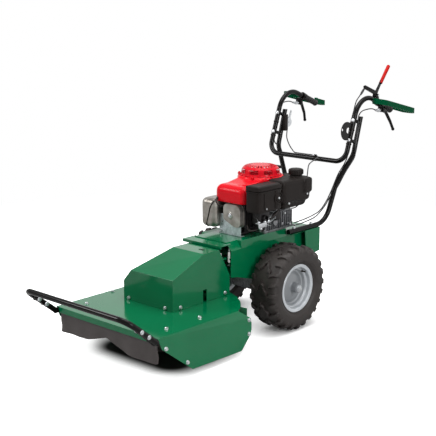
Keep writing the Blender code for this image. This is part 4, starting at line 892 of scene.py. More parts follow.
# Starter handle: a moulded T with its rope, a 4 mm braided nylon line that runs into the cover. The braid's
# strands are drawn 6 mm apart along the rope, about three times as coarse as the real ones.
rope_nylon, tree, shader, place = finish("braided_nylon_rope", Roughness=0.7, Sheen_Weight=0.2)
BRAID = {"wave_type": "BANDS", "bands_direction": "DIAGONAL", "Scale": 110.0}
plait = add(tree, "TexWave", BRAID, Vector=place).outputs["Fac"]
work_in(tree, shader, plait, "#B9B6AE", "#EAE7DF", relief=(plait, 0.5, 0.0004))
bm = bmesh.new()
ROPE_Z = 753
grip_line = ((-38, 190), (-30, 188.6), (-15, 187.4), (0, 187), (15, 187.4), (30, 188.6), (38, 190))
pipe(bm, [(x, y, ROPE_Z) for x, y in grip_line], [6.4, 7.6, 8.0, 8.4, 8.0, 7.6, 6.4], 20)
lathe(bm, [(0, 166), (4.5, 166), (5.2, 176), (7.5, 183), (0, 184)], (0, 0, ROPE_Z), ALONG_Y, 20)
piece("starter_handle", bm, [black_moulding], "starter", ["starter_grip"], 50)
bm = bmesh.new()
pipe(bm, [(0, y, ROPE_Z) for y in (146, 153, 159, 165, 172)], 2.0, 12)
rope = piece("starter_rope", bm, [rope_nylon], None)
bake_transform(rope)

# Air cleaner box, fuel tank and cap: black polypropylene. The cleaner is a squared moulding under a snap lid,
# the tank is blow-moulded, so all its corners are round, and the cap has finger ribs.
KNOB_AT = (0, -44, 652)
bm = bmesh.new()
block(bm, (118.6, 206), (-190, -12), (602, 690), 20, 8, only="z")
block(bm, (122, 202), (-186, -16), (595, 603), 18, 6, only="z")
block(bm, (116.2, 209.5), (-194, -9.6), (690.5, 696), 23, 8, only="z")
block(bm, (116.6, 209.0), (-193.5, -10), (697, 723), 22, 8)
block(bm, (118.2, 207.6), (-192.2, -11.2), (695, 698), 22, 8, only="z")
block(bm, (205, 208.4), (-150, -146), (608, 688), 1.2, 2)
block(bm, (205, 208.4), (-70, -40), (604, 690), 1.5, 2)
lathe(
    bm, [(0, 200), (21, 200), (21, 206), (18, 211.0), (12, 211.6), (11, 208), (0, 208)], KNOB_AT, ALONG_X,
    40,
)
lathe(
    bm, [(26, 205), (30, 205), (30, 209.6), (28.8, 210.4), (27.2, 210.4), (26, 209.4)], KNOB_AT, ALONG_X,
    48, closed=True,
)
piece("air_cleaner_box", bm, [black_moulding], "chassis", ["air_box"], 35)
bm = bmesh.new()
lathe(bm, [(0, 208), (6.2, 208), (6.2, 211), (5, 213), (0, 213.6)], KNOB_AT, ALONG_X, 24)
lathe(bm, [(0, 205), (4, 205), (4, 208.6), (0, 209)], (0, -132, 612), ALONG_X, 20)
piece("air_cleaner_screws", bm, [zinc_plate], "chassis")

FILLER = (160, 148)
bm = bmesh.new()
block(bm, (46, 205), (-4, 216), (606, 726), 20, 6)
block(bm, (60, 190), (10, 206), (578, 640), 24, 6)
block(bm, (132, 213), (152, 221), (645, 721), 13, 5)
lathe(bm, [(0, 690), (36, 700), (32, 730), (30, 735.5), (0, 735.5)], (*FILLER, 0), UP, 48)
bm = melt(bm, "tank_form", 3.5, 8)
drum = bmesh.new()
lathe(drum, [(0, 560), (117, 560), (117, 745), (0, 745)], (*CRANK, 0), UP, 72)
block(drum, (-20, 112), (-60, 195), (540, 627), 0.5, 1)
block(drum, (-20, 113), (-60, 62), (540, 745), 0.5, 1)


def trim(bm, cutter_mesh, name):
    """Cuts one form out of another, as where a tank is moulded to clear the housing beside it."""
    holders = []
    for part, label in ((bm, name), (cutter_mesh, name + "_cut")):
        bmesh.ops.recalc_face_normals(part, faces=part.faces)
        data = bpy.data.meshes.new(label)
        part.to_mesh(data)
        part.free()
        holder = bpy.data.objects.new(label, data)
        scene.collection.objects.link(holder)
        holders.append(holder)
    cut_away = holders[0].modifiers.new("Cut", "BOOLEAN")
    cut_away.operation = "DIFFERENCE"
    cut_away.object = holders[1]
    cut_away.solver = "EXACT"
    cut_away.use_self = True
    bpy.context.view_layer.update()
    result = bmesh.new()
    result.from_object(holders[0], bpy.context.evaluated_depsgraph_get())
    for holder in holders:
        bpy.data.objects.remove(holder, do_unlink=True)
    return result


bm = trim(bm, drum, "tank_cut")
piece("fuel_tank_moulding", bm, [black_moulding], "chassis", ["fuel_tank"], 40)
bm = bmesh.new()
for y, z in ((184, 640), (40, 612)):
    lathe(bm, [(0, 201), (6.0, 201), (6.0, 206), (5, 207.6), (0, 208)], (0, y, z), ALONG_X, 24)
piece("tank_screws", bm, [zinc_plate], "chassis")

bm = bmesh.new()
lid = [
    (0, 737), (33, 737), (35.2, 739), (35.2, 757), (34.4, 761), (31, 764.4), (26, 765.8), (14, 766),
    (0, 766),
]
lathe(bm, lid, (*FILLER, 0), UP, 64)
rib_line = ((35.4, 739), (35.6, 757), (33.4, 763))
for k in range(20):
    rib = [around(FILLER, r, math.tau * k / 20, z) for r, z in rib_line]
    pipe(bm, rib, [1.9, 1.9, 1.0], 8)
piece("fuel_cap_moulding", bm, [black_moulding], "cap", ["fuel_cap"], 40)

# Oil filler: a tube with a dipstick cap, on an elbow from the crankcase. Both are moulded in the same black
# plastic, and the cap has twelve flats for the fingers.
DIPSTICK = (-126, 112)
bm = bmesh.new()
pipe(bm, bend([(-104, 112, 512), (*DIPSTICK, 512), (*DIPSTICK, 672)], (12,)), 9.4, 24)
lathe(bm, [(0, 668), (15.4, 668), (16, 670), (16, 684), (14, 689), (0, 690)], (*DIPSTICK, 0), UP, 12)
lathe(bm, [(9, 655), (12.5, 657), (12.5, 668), (0, 668)], (*DIPSTICK, 0), UP, 32)
piece("oil_filler_tube", bm, [black_moulding], "chassis", ["oil_filler"], 30)

# Carburettor and linkage: a small die casting under the cleaner box, with its float bowl, screws, a control
# bracket, and the governor's rods and springs of bright wire.
FLOAT_BOWL = (146, -104)
bm = bmesh.new()
block(bm, (120, 172), (-140, -66), (528, 590), 7, 4)
lathe(
    bm, [(0, 493), (17, 493), (23, 500), (24, 508), (24, 519), (26, 521), (26, 525), (0, 525)],
    (*FLOAT_BOWL, 0), UP, 40,
)
lathe(bm, [(0, 106.5), (20, 106.5), (20, 121), (0, 121)], (0, -90, 560), ALONG_X, 32)
lathe(bm, [(0, 166), (16, 166), (16, 186), (13, 189), (13, 170), (0, 170)], (0, -110, 560), ALONG_X, 32)
block(bm, (118, 124), (-128, -56), (530, 590), 2, 2)
lathe(bm, [(0, 590), (9, 590), (9, 597), (0, 597.5)], (150, -92, 0), UP, 24)
block(bm, (112, 140), (20, 60), (520, 566), 5, 3)
piece("carburettor_casting", bm, [engine_paint], "chassis", ["carburettor"], 35)

bm = bmesh.new()
block(bm, (168, 190), (-168, -72), (540.4, 543.6), 1.0, 2)
block(bm, (186.6, 190), (-168, -110), (520, 543.6), 1.0, 2)
for x, y, z in ((186, -120, 543), (176, -152, 543), (180, -86, 543)):
    lathe(
        bm, [(0, z - 8), (3.4, z - 8), (3.4, z), (7, z + 1), (7, z + 5), (5.6, z + 7), (0, z + 7)],
        (x, y, 0), UP, 20,
    )
lathe(bm, [(0, 488.5), (5.5, 488.5), (5.5, 493.5), (0, 493.5)], (*FLOAT_BOWL, 0), UP, 6)
pipe(bm, bend([(186, -120, 552), (170, -60, 556), (150, -20, 566), (140, 30, 575)], (14, 14)), 1.7, 10)
pipe(bm, bend([(176, -152, 549), (150, -140, 560), (120, -30, 572), (128, 40, 560)], (10, 10)), 1.5, 10)
coil = []
for k in range(120):
    a = math.tau * k / 10
    coil.append((176 - k * 0.22 + 4.2 * math.cos(a), -84 + k * 0.75, 534 + 4.2 * math.sin(a) + k * 0.06))
pipe(bm, coil, 0.8, 6)
pipe(bm, bend([(186, -120, 538), (188, -90, 522), (168, -50, 512), (140, -34, 520)], (12, 12)), 1.6, 10)
lathe(bm, [(0, 0), (8, 0), (9, 2), (9, 9), (7, 11), (0, 12)], (176, -140, 516), (0.6, -0.6, -0.5), 24)
lathe(bm, [(0, 0), (4.5, 0), (5, 9), (0, 10)], (124, -46, 540), ALONG_X, 16)
piece("carburettor_linkage", bm, [zinc_plate], "chassis", smooth=45)

bm = bmesh.new()
block(bm, (124, 168), (-128, -70), (588, 602), 4, 3)
pipe(bm, bend([(146, -124, 506), (146, -150, 500), (120, -160, 498), (100, -150, 520)], (12, 12)), 4.2, 14)
pipe(bm, bend([(150, 40, 582), (150, 10, 560), (150, -30, 540), (140, -70, 545)], (16, 16)), 4.2, 14)
pipe(
    bm,
    bend(
        [(-42, -176, 600), (-42, -196, 606), (-52, -204, 622), (-60, -190, 640), (-60, -168, 646)],
        (12, 12, 12),
    ),
    3.6, 14,
)
lathe(bm, [(0, 0), (8, 0), (9, 3), (8, 22), (6, 26), (0, 27)], (-38, -160, 594), (-0.25, -1, 0.25), 24)
piece("rubber_hoses", bm, [tread_rubber], "chassis", smooth=45)

# Handle: two lower tubes bolted to the rear shelf and one long tube bent into a U above them, held by two
# bolts and spacers on each side. All one inch steel tube under the same black gloss coat.
BAR_X = 247.0
BAR_HIGH = (557, 1118)
BAR_END = (838, 1005)
bar_bolts = ((476, 877), (509, 975))
for side, sign in SIDES:
    bm = bmesh.new()
    knees = [(152, 104, 449), (154, 412, 449), (168, 478, 645), (BAR_X, 512, 800), (BAR_X, 567, 990)]
    pipe(bm, bend([(sign * x, y, z) for x, y, z in knees], (100, 90, 90), 5), TUBE_R, 28)
    lathe(bm, [(0, -0.6), (9.5, -0.6), (11.2, 0.6), (11.2, 3), (0, 3)], (sign * 152, 104, 449), ALONG_Y, 24)
    lathe(
        bm, [(0, 988.6), (TUBE_R + 0.6, 988.6), (TUBE_R + 0.6, 989.4), (TUBE_R - 1, 990.8), (0, 991)],
        (sign * BAR_X, 567, 0), UP, 28,
    )
    piece(f"lower_handle_tube_{side}", bm, [black_coat], "chassis", [f"lower_tube_{side}"])

bm = bmesh.new()
half = [(BAR_X, *BAR_END), (BAR_X, *BAR_HIGH), (BAR_X, 437, 770)]
u_line = half + [(-x, y, z) for x, y, z in reversed(half)]
pipe(bm, bend(u_line, (115, 60, 60, 115), 5), TUBE_R, 28)
for sign in (1, -1):
    for (y, z), reach in zip(bar_bolts, (40, 36)):
        pipe(bm, [(sign * BAR_X, y + 8, z), (sign * BAR_X, y + reach, z - reach * 0.3)], 9, 20)
piece("upper_handle_bar", bm, [black_coat], "chassis", ["handle_bar"])

bm = bmesh.new()
for sign in (1, -1):
    for y, z in bar_bolts:
        way = Vector((0, -1, 0.3)).normalized()
        spot_at = Vector((sign * BAR_X, y, z)) + way * (TUBE_R - 2.4)
        lathe(bm, [(0, 0), (10, 0), (10, 2.6), (8.6, 5), (5, 7.2), (0, 7.8)], spot_at, way, 24)
        back_at = Vector((sign * BAR_X, y + 30, z - 9)) - way * 14
        hexagon(bm, back_at, -way, 13, 6, 9)
    for y in (150, 290):
        hexagon(bm, (sign * 152, y, 461.2), UP, 14, 6.6, 8.6)
piece("handle_bolts", bm, [zinc_plate], "chassis")

# Grips: soft black rubber sleeves pushed over the bar's ends, with fine rings round them for the fingers and
# a thicker collar at the end. Dull, with the rings just catching the light.
grip_rubber, tree, shader, place = finish("soft_grip_rubber", Roughness=0.66)
bloom = add(tree, "TexNoise", {"Scale": 40.0, "Detail": 4.0}, Vector=place).outputs["Fac"]
pimple = add(tree, "TexVoronoi", {"Scale": 420.0}, Vector=place).outputs["Distance"]
work_in(tree, shader, bloom, "#121111", "#201E1E", relief=(pimple, 0.3, 0.0004))

rise = (Vector(BAR_END) - Vector(BAR_HIGH)).normalized()
along_grip = (0, rise.x, rise.y)
for side, sign in SIDES:
    near = Vector(BAR_END) - rise * 104
    line = [(0, 108.2), (12.5, 108.2), (17.2, 107.2), (18.2, 105.4), (18.0, 102.4), (16.2, 100.8)]
    for k in range(22):
        s = 97.5 - k * 4.1
        line += [(16.4, s + 1.2), (16.4, s - 0.4), (15.5, s - 1.2), (15.5, s - 2.2)]
    line += [(16.2, 6), (18.4, 4), (18.4, 0.8), (17.6, 0), (13.2, 0)]
    bm = bmesh.new()
    lathe(bm, line, (sign * BAR_X, near.x, near.y), along_grip, 40)
    piece(f"rubber_grip_{side}", bm, [grip_rubber], "chassis", [f"grip_{side}"], 40)

# Hand guards: a flat strap of sheet steel bent round the outside of each hand and clamped to the bar at both
# its ends, in a darker copy of the green coat that paints their shade; its bends flash white where they face
# the light.
bar_side = BAR_X + TUBE_R + 3.8
route = [
    (bar_side, 682), (bar_side, 648), (290, 632), (333, 662), (333, 948), (300, 962), (262, 950),
    (262, 846.5), (238, 846.5),
]
strap = bend([(x, y, 0) for x, y in route], (12, 20, 30, 28, 14, 14, 6), 6)
for side, sign in SIDES:
    bm = bmesh.new()
    lines = []
    for i, here in enumerate(strap):
        ahead = (strap[min(i + 1, len(strap) - 1)] - strap[max(i - 1, 0)]).normalized()
        inward = Vector((ahead.y, -ahead.x, 0))
        ring = []
        for depth, lift in (
            (0, -13.4), (0, 13.4), (0.5, 14), (3.0, 14), (3.5, 13.4), (3.5, -13.4), (3.0, -14), (0.5, -14),
        ):
            p = here + inward * depth
            ring.append(bm.verts.new(at(sign * p.x, p.y, 1064 - 0.235 * (here.y - 652) + lift)))
        lines.append(ring)
    for a, b in zip(lines, lines[1:]):
        for k in range(8):
            n = (k + 1) % 8
            bm.faces.new((a[k], a[n], b[n], b[k]))
    bm.faces.new(lines[0])
    bm.faces.new(reversed(lines[-1]))
    piece(f"hand_guard_{side}", bm, [shaded_green_coat], "chassis", [f"guard_{side}"], 30)

# Hand levers: cast alloy blades in a clamp on each side, dipped in black. Pulled towards the grip, each one
# lets its wheel's drive in through its own cable.
perch_at = Vector(BAR_END) - rise * 124
for side, sign in SIDES:
    bm = bmesh.new()
    lathe(
        bm, [(13.2, -9), (19, -9), (20, -8), (20, 8), (19, 9), (13.2, 9)],
        (sign * BAR_X, perch_at.x, perch_at.y), along_grip, 36, closed=True,
    )
    lathe(
        bm, [(0, -3), (6, -3), (6, 7), (5, 8), (0, 8)], (sign * (BAR_X - 18), perch_at.x, perch_at.y - 6),
        along_grip, 20,
    )
    arm_x = sorted((sign * 252, sign * 265))
    block(bm, arm_x, (713, 733), (1004, 1042), 4, 4)
    fork_x = sorted((sign * 281.6, sign * 288))
    block(bm, fork_x, (712, 733), (1004, 1036), 2.4, 3)
    block(bm, sorted((sign * 256, sign * 286)), (713, 731), (1024, 1040), 4, 3)
    block(bm, sorted((sign * 260, sign * 282)), (704, 714), (1004, 1026), 3, 3)
    piece(f"lever_clamp_{side}", bm, [black_coat], "chassis", [f"lever_perch_{side}"], 35)

    bm = bmesh.new()
    path = bend(
        [(sign * 274, 724, 1013), (sign * 276, 750, 1004), (sign * 284, 786, 950), (sign * 292, 804, 908)],
        (24, 60), 6,
    )
    count = len(path)
    pipe(bm, path, [10.6 - 3.4 * k / (count - 1) for k in range(count)], 18)
    lathe(
        bm, [(0, -8.6), (5, -7.6), (8, -4), (8.8, 0), (8, 4), (5, 7.6), (0, 8.6)], path[-1],
        (sign * 0.2, 0.5, -0.8), 20,
    )
    lathe(
        bm, [(0, 267.4), (9, 267.4), (9.4, 268), (9.4, 280), (9, 280.8), (0, 280.8)], (0, 724, 1013),
        (sign, 0, 0), 24,
    )
    piece(
        f"hand_lever_blade_{side}", bm, [black_coat], f"lever_{side}",
        [f"hand_lever_{side}"], 50,
    )

# Blade lever: a bent arm of black-coated plate on a clamp, with a red vinyl sleeve dipped over its grip. Its
# short front arm pulls the cable that tightens the blade's belt.
red_vinyl, tree, shader, place = finish(
    "dipped_red_vinyl", Roughness=0.4, Specular_IOR_Level=0.08,
    Subsurface_Weight=0.05, Subsurface_Scale=0.002,
)
pour = add(tree, "TexNoise", {"Scale": 35.0, "Detail": 2.0}, Vector=place).outputs["Fac"]
work_in(tree, shader, pour, "#A81410", "#B81E18", relief=(pour, 0.2, 0.0005))

RED_AXIS = (700.0, 1089.0)
crank = [
    (706, 1082), (711, 1090), (712, 1104), (752, 1158), (741, 1166), (697, 1112), (600, 1149), (586, 1146),
    (588, 1132), (686, 1096), (694, 1082),
]
bm = bmesh.new()
slab(bm, crank, "YZ", BAR_X, 6, edge=1.2)
pipe(bm, [(BAR_X, 740, 1150), (BAR_X, 750, 1162)], 7.6, 20)
lathe(
    bm, [(5.6, -8), (9, -8), (9.6, -7.4), (9.6, 7.4), (9, 8), (5.6, 8)], (BAR_X, *RED_AXIS), ALONG_X, 28,
    closed=True,
)
piece("blade_lever_arm", bm, [black_coat], "blade_lever", ["blade_lever"], 35)
bm = bmesh.new()
slope = (Vector((812, 1238)) - Vector((738, 1148))).normalized()
sleeve = [
    (0, -1.5), (5, -0.8), (8, 1.4), (9.1, 5), (9.4, 14), (9.0, 60), (8.8, 103), (9.3, 111.5), (9.3, 113),
    (7.4, 113.2), (0, 113.2),
]
lathe(bm, sleeve, (BAR_X, 812, 1237.6), (0, -slope.x, -slope.y), 28)
piece("red_lever_sleeve", bm, [red_vinyl], "blade_lever", smooth=60)

bm = bmesh.new()
for s in (1, -1):
    cheek = [(689, 1064), (709, 1056), (710, 1092), (706, 1098), (694, 1098), (689, 1090)]
    slab(bm, cheek, "YZ", BAR_X + s * 12, 4, edge=0.8)
lathe(
    bm, [(13.3, -10), (17, -10), (17.6, -9), (17.6, 9), (17, 10), (13.3, 10)], (BAR_X, 700, 1060),
    along_grip, 32, closed=True,
)
piece("blade_lever_clamp", bm, [black_coat], "chassis", ["lever_bracket"], 35)
bm = bmesh.new()
lathe(bm, [(0, -15.6), (7, -15.6), (7.6, -15), (5, -14), (5, 14), (0, 14)], (BAR_X, *RED_AXIS), ALONG_X, 20)
hexagon(bm, (BAR_X + 14, *RED_AXIS), ALONG_X, 10, 3.8)
piece("blade_lever_pin", bm, [zinc_plate], "chassis")

# Cable plate: a laser-cut disc of black-coated steel beside the near upright, with a tongue that is welded
# round the tube. A large and a small hole go through it.
disc_turn = [math.tau * k / 48 for k in range(48)]
disc_outline = [(446 + 47 * math.cos(a), 928 + 47 * math.sin(a)) for a in disc_turn]
bm = bmesh.new()
slab(bm, disc_outline, "YZ", BAR_X, 4, edge=0.5)
slab(bm, [(452, 900), (476, 905), (488, 962), (484, 972), (440, 960)], "YZ", BAR_X, 3.9, edge=0.5)
holes = bmesh.new()
lathe(holes, [(0, -20), (15, -20), (15, 20), (0, 20)], (BAR_X, 458, 930), ALONG_X, 40)
lathe(holes, [(0, -20), (7, -20), (7, 20), (0, 20)], (BAR_X, 410, 938), ALONG_X, 24)
pipe(holes, [(BAR_X, 437, 770), (BAR_X, 541, 1071)], TUBE_R + 0.2, 24)
bm = trim(bm, holes, "plate_form")
piece("pierced_cable_plate", bm, [black_coat], "chassis", ["cable_plate"], 30)

# Throttle control: a moulded black housing clipped to the far upright. A small plated lever turns in it,
# between two plated cheeks and on a riveted pin.
THROTTLE_AT = (-218, 556, 924)
bm = bmesh.new()
block(bm, (-226.4, -221.8), (520, 548), (880, 968), 3.5, 4)
block(bm, (-214.2, -209.6), (520, 548), (880, 968), 3.5, 4)
block(bm, (-226, -210), (520, 530), (880, 966), 3, 3)
block(bm, (-236, -222), (532, 552), (904, 946), 3, 3)
piece("throttle_housing", bm, [black_moulding], "chassis", ["throttle_body"], 35)
bm = bmesh.new()
lathe(bm, [(0, -8), (23, -8), (24, -7), (24, -3.7), (0, -3.7)], THROTTLE_AT, ALONG_X, 36)
lathe(bm, [(0, 3.7), (24, 3.7), (24, 7), (23, 8), (0, 8)], THROTTLE_AT, ALONG_X, 36)
piece("throttle_cheeks", bm, [zinc_plate], "chassis")
bm = bmesh.new()
slab(
    bm, [(548, 916), (564, 916), (574, 940), (590, 982), (580, 988), (564, 950), (548, 936)], "YZ", -218,
    3.6, edge=0.9,
)
lathe(bm, [(0, -3), (12, -3), (12, 3), (0, 3)], THROTTLE_AT, ALONG_X, 24)
piece("throttle_arm", bm, [zinc_plate], "throttle", ["throttle_lever"], 35)
bm = bmesh.new()
lathe(bm, [(0, -9), (5.4, -9), (3.4, -8), (3.4, 8), (5.4, 9), (0, 9)], THROTTLE_AT, ALONG_X, 20)
piece("throttle_pin", bm, [zinc_plate], "chassis")

# Control cables: steel wire in a black vinyl sheath, held all along the handle, with plated ferrules and
# adjusters where they leave the levers.
SHEATH_R = 2.9
sheath, tree, shader, place = finish("black_vinyl_sheath", Roughness=0.38)
wipe = add(tree, "TexNoise", {"Scale": 60.0, "Detail": 2.0}, Vector=place).outputs["Fac"]
work_in(tree, shader, wipe, "#111112", "#232325")


def flowing(corners):
    """A smooth line through every corner, as a cable lies, in eight steps from one to the next."""
    corners = [Vector(c) for c in corners]
    ends = [2 * corners[0] - corners[1], *corners, 2 * corners[-1] - corners[-2]]
    path = []
    for a, b, c, d in zip(ends, ends[1:], ends[2:], ends[3:]):
        for k in range(8):
            t = k / 8
            chord = 2 * b + (c - a) * t
            path.append((chord + (2 * a - 5 * b + 4 * c - d) * t**2 + (3 * b - a - 3 * c + d) * t**3) / 2)
    return [*path, corners[-1]]


for side, sign in SIDES:
    run = [
        (270, 674, 1014), (270, 640, 1026), (268, 600, 1028), (264, 550, 1020), (258, 530, 990),
        (266, 516, 930), (266, 500, 860), (264, 503, 815), (240, 528, 778), (204, 508, 705),
        (170, 488, 625), (147, 460, 578), (144, 426, 540), (142, 380, 506), (138, 330, 482),
        (126, 240, 466.5), (120, 190, 464),
    ]
    bm = bmesh.new()
    pipe(bm, flowing([(sign * x, y, z) for x, y, z in run]), SHEATH_R, 12)
    piece(f"drive_cable_{side}", bm, [sheath], "chassis", [f"clutch_cable_{side}"], 60)
    bm = bmesh.new()
    lathe(
        bm, [(0, 678), (6, 679), (8.4, 688), (9.4, 690), (9.4, 706), (0, 706)], (sign * 270, 0, 1014),
        ALONG_Y, 24,
    )
    barrel = [
        (0, 0), (6.4, 0), (6.6, 1), (6.6, 4), (5.4, 5), (5.4, 13), (6.4, 14), (6.4, 18), (3.6, 19),
        (3.6, 24), (0, 24),
    ]
    lathe(bm, barrel, (sign * 270, 686, 1014), (0, -1, 0.2), 24)
    lathe(bm, [(0, 0), (5, 0), (5, 5), (0, 5)], (sign * 120, 196, 464.6), (0.05 * sign, -1, 0), 20)
    piece(f"cable_adjuster_{side}", bm, [zinc_plate], "chassis")

run = [
    (BAR_X, 589.5, 1130.2), (BAR_X - 4, 577, 1112), (236, 566, 1094), (228, 552, 1070), (228, 534, 1030),
    (228, 496, 930), (226, 486, 850), (223, 497, 800), (203, 497, 750), (173, 484, 690), (149, 459, 600),
    (140, 424, 545), (130, 380, 505), (112, 300, 480), (100, 220, 470),
]
bm = bmesh.new()
pipe(bm, flowing(run), SHEATH_R, 12)
pipe(
    bm, [(BAR_X, 590, 1130.6), (BAR_X - 1.4, 585, 1124), (BAR_X - 4, 577, 1112), (240.4, 571, 1102.6)],
    [4.4, 6, 6, 4.4], 18,
)
cable = piece("blade_control_cable", bm, [sheath], None, ["blade_cable"], 60)
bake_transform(cable)
run = [
    (-218, 550, 879), (-218, 549, 840), (-205, 556, 800), (-180, 552, 776), (-140, 516, 772),
    (-100, 468, 783), (-73, 440, 786), (0, 437, 786), (62, 437, 786), (92, 415, 782), (110, 360, 775),
    (125, 300, 762), (150, 256, 730), (160, 236, 680), (150, 232, 610), (124, 206, 560),
    (100, 191.5, 548),
]
bm = bmesh.new()
pipe(bm, flowing(run), SHEATH_R, 12)
piece("throttle_control_cable", bm, [sheath], "chassis", ["throttle_cable"], 60)

# Cable keepers: a black clip with a screw holds the throttle's cable on the cross tube, and black plastic
# ties hold the others on the uprights.
bm = bmesh.new()
lathe(bm, [(13.0, -4), (14.2, -4), (14.2, 4), (13.0, 4)], (62, 437, 770), ALONG_X, 36, closed=True)
block(bm, (58, 66), (415, 425), (780, 788), 1.6, 2)
lathe(bm, [(3.2, -6), (4.6, -6), (4.6, 6), (3.2, 6)], (62, 437, 786.6), ALONG_X, 20, closed=True)
piece("cross_tube_clip", bm, [black_moulding], "chassis")
bolts("cross_tube_clip_screw", "chassis", [((62, 418, 788), UP, 9, 4, 7)])
bm = bmesh.new()
tie = [(TUBE_R + 0.2, -2.4), (TUBE_R + 1.8, -2.4), (TUBE_R + 1.8, 2.4), (TUBE_R + 0.2, 2.4)]
for sign in (1, -1):
    for z in (930, 860):
        tie_at = (sign * BAR_X, 437 + (z - 770) * 0.3454, z)
        lathe(bm, tie, tie_at, (0, 0.326, 0.945), 32, closed=True)
piece("cable_ties", bm, [black_moulding], "chassis")

# Transaxle: a die-cast gearbox under the frame, with an arm round each half of the axle, bolted to a cross
# beam. Its input shaft stands up through a boss and carries the drive's pulley.
dress("transaxle", cast_alloy, 1.6, 3)
bm = bmesh.new()
for sign in (1, -1):
    for y in (-48, -16, 16, 48):
        hexagon(bm, (sign * 84, y, 256), (sign, 0, 0), 10, 5, 8)
    lathe(
        bm, [(0, 144.6), (21, 144.6), (21, 147), (13, 148.6), (10.6, 148.6), (10.6, 146), (0, 146)],
        (0, 0, 211.6), (sign, 0, 0), 40,
    )
    for y in (28, 46):
        hexagon(bm, (sign * 100, y, 276), UP, 13, 6, 9)
piece("gearbox_bolts", bm, [zinc_plate], "chassis")

# Pulleys: turned steel with a V groove for each belt, keyed on their shafts. They are left bare, and the
# fine marks of the lathe draw each highlight out.
turned_steel, tree, shader, place = finish("turned_bare_steel", Metallic=1.0, Anisotropic=0.5)
turning_marks = add(tree, "TexNoise", {"Scale": 60.0, "Detail": 4.0}, Vector=place).outputs["Fac"]
work_in(tree, shader, turning_marks, "#7C7975", "#A8A5A0", rough=(0.25, 0.45))


def sheave(bm, centre, height, radius, hub):
    """A V-belt pulley: a grooved rim, a dished web and a hub, about an upright axis."""
    outer = [
        (hub, height - 9), (radius - 9, height - 9), (radius - 7, height - 8.6), (radius, height - 8.6),
        (radius, height - 7.4), (radius - 7, height - 3.4), (radius - 7, height + 3.4),
        (radius, height + 7.4), (radius, height + 8.6), (radius - 7, height + 8.6),
        (radius - 10, height + 5), (hub + 7, height + 5), (hub + 5, height + 9), (hub, height + 9),
    ]
    lathe(bm, outer, (*centre, 0), UP, 56, closed=True)


BLADE_BELT_Z, DRIVE_BELT_Z = 340, 308
SPINDLE_Y, DRIVE_Y = -632, -60
IDLER = (91, -130)
bm = bmesh.new()
sheave(bm, CRANK, BLADE_BELT_Z, 42, 12)
sheave(bm, CRANK, DRIVE_BELT_Z, 32, 12)
lathe(bm, [(0, 639), (12, 639), (12, 300), (0, 300)], (*CRANK, 0), UP, 32)
piece("crank_sheaves", bm, [turned_steel], "crankshaft", ["crank_pulley"], 35)
bolts("crank_bolt", "crankshaft", [((*CRANK, 300), (0, 0, -1), 16, 0.9, 0)])
bm = bmesh.new()
sheave(bm, (0, DRIVE_Y), DRIVE_BELT_Z, 55, 10)
lathe(bm, [(0, 316), (7.6, 316), (7.6, 278.4), (0, 278.4)], (0, DRIVE_Y, 0), UP, 28)
piece("drive_sheave", bm, [turned_steel], "traction_input", ["traction_pulley"], 35)
bm = bmesh.new()
sheave(bm, (0, SPINDLE_Y), BLADE_BELT_Z, 50, 14)
lathe(
    bm, [(0, 357.6), (12, 357.6), (12, 106), (35.6, 104), (35.6, 92.6), (0, 92.6)], (0, SPINDLE_Y, 0), UP,
    36,
)
piece("spindle_sheave", bm, [turned_steel], "blade_rotor", ["spindle_pulley"], 35)

# Belts: wrapped V belts of black rubber under woven cloth, laid round their pulleys. The cloth shows
# as a fine diagonal weave, drawn 2 mm from thread to thread.
belt_cloth, tree, shader, place = finish("wrapped_belt_cloth", Roughness=0.85)
WRAP = {"wave_type": "BANDS", "bands_direction": "DIAGONAL", "Scale": 160.0}
wrap = add(tree, "TexWave", WRAP, Vector=place).outputs["Fac"]
work_in(tree, shader, wrap, "#161413", "#2C2825", relief=(wrap, 0.4, 0.0004))


def belt_run(bm, height, y1, r1, y2, r2):
    """A V belt round two pulleys on the centre line: 13 mm wide at its back, 8 at its root."""
    lean = math.asin((r2 - r1) / (y1 - y2))
    rings = []
    for y, r, first, last in ((y1, r1, lean, math.pi - lean), (y2, r2, math.pi - lean, math.tau + lean)):
        for k in range(25):
            a = first + (last - first) * k / 24
            ring = []
            for out, up in ((1.6, 4.4), (1.6, -4.4), (0.8, -4.6), (-5, -3), (-5, 3), (0.8, 4.6)):
                reach = r + out
                ring.append(bm.verts.new(at(reach * math.cos(a), y + reach * math.sin(a), height + up)))
            rings.append(ring)
    for a, b in zip(rings, rings[1:] + rings[:1]):
        for k in range(len(a)):
            bm.faces.new((a[k], a[k - 1], b[k - 1], b[k]))
    bmesh.ops.recalc_face_normals(bm, faces=bm.faces)


bm = bmesh.new()
belt_run(bm, BLADE_BELT_Z, CRANK_Y, 42, SPINDLE_Y, 50)
belt = piece("blade_drive_belt", bm, [belt_cloth], None, ["blade_belt"], 35)
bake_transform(belt)
bm = bmesh.new()
belt_run(bm, DRIVE_BELT_Z, CRANK_Y, 32, DRIVE_Y, 55)
piece("wheel_drive_belt", bm, [belt_cloth], "chassis", ["traction_belt"], 35)

# Idler: the clutch that tightens the blade's belt, a plated arm that swings on its post. Its flat roller of
# turned steel has a low rim at each end, which keeps the belt on.
dress("idler_arm", zinc_plate, 0.5)
bm = bmesh.new()
roller = [
    (5.8, 332.4), (24.6, 332.4), (24.6, 333.6), (22, 334.4), (22, 345.6), (24.6, 346.4), (24.6, 347.6),
    (14, 347.6), (13, 346.4), (7, 346.4), (5.8, 347.2),
]
lathe(bm, roller, (*IDLER, 0), UP, 48, closed=True)
piece("idler_roller", bm, [turned_steel], "idler", ["idler_pulley"], 35)

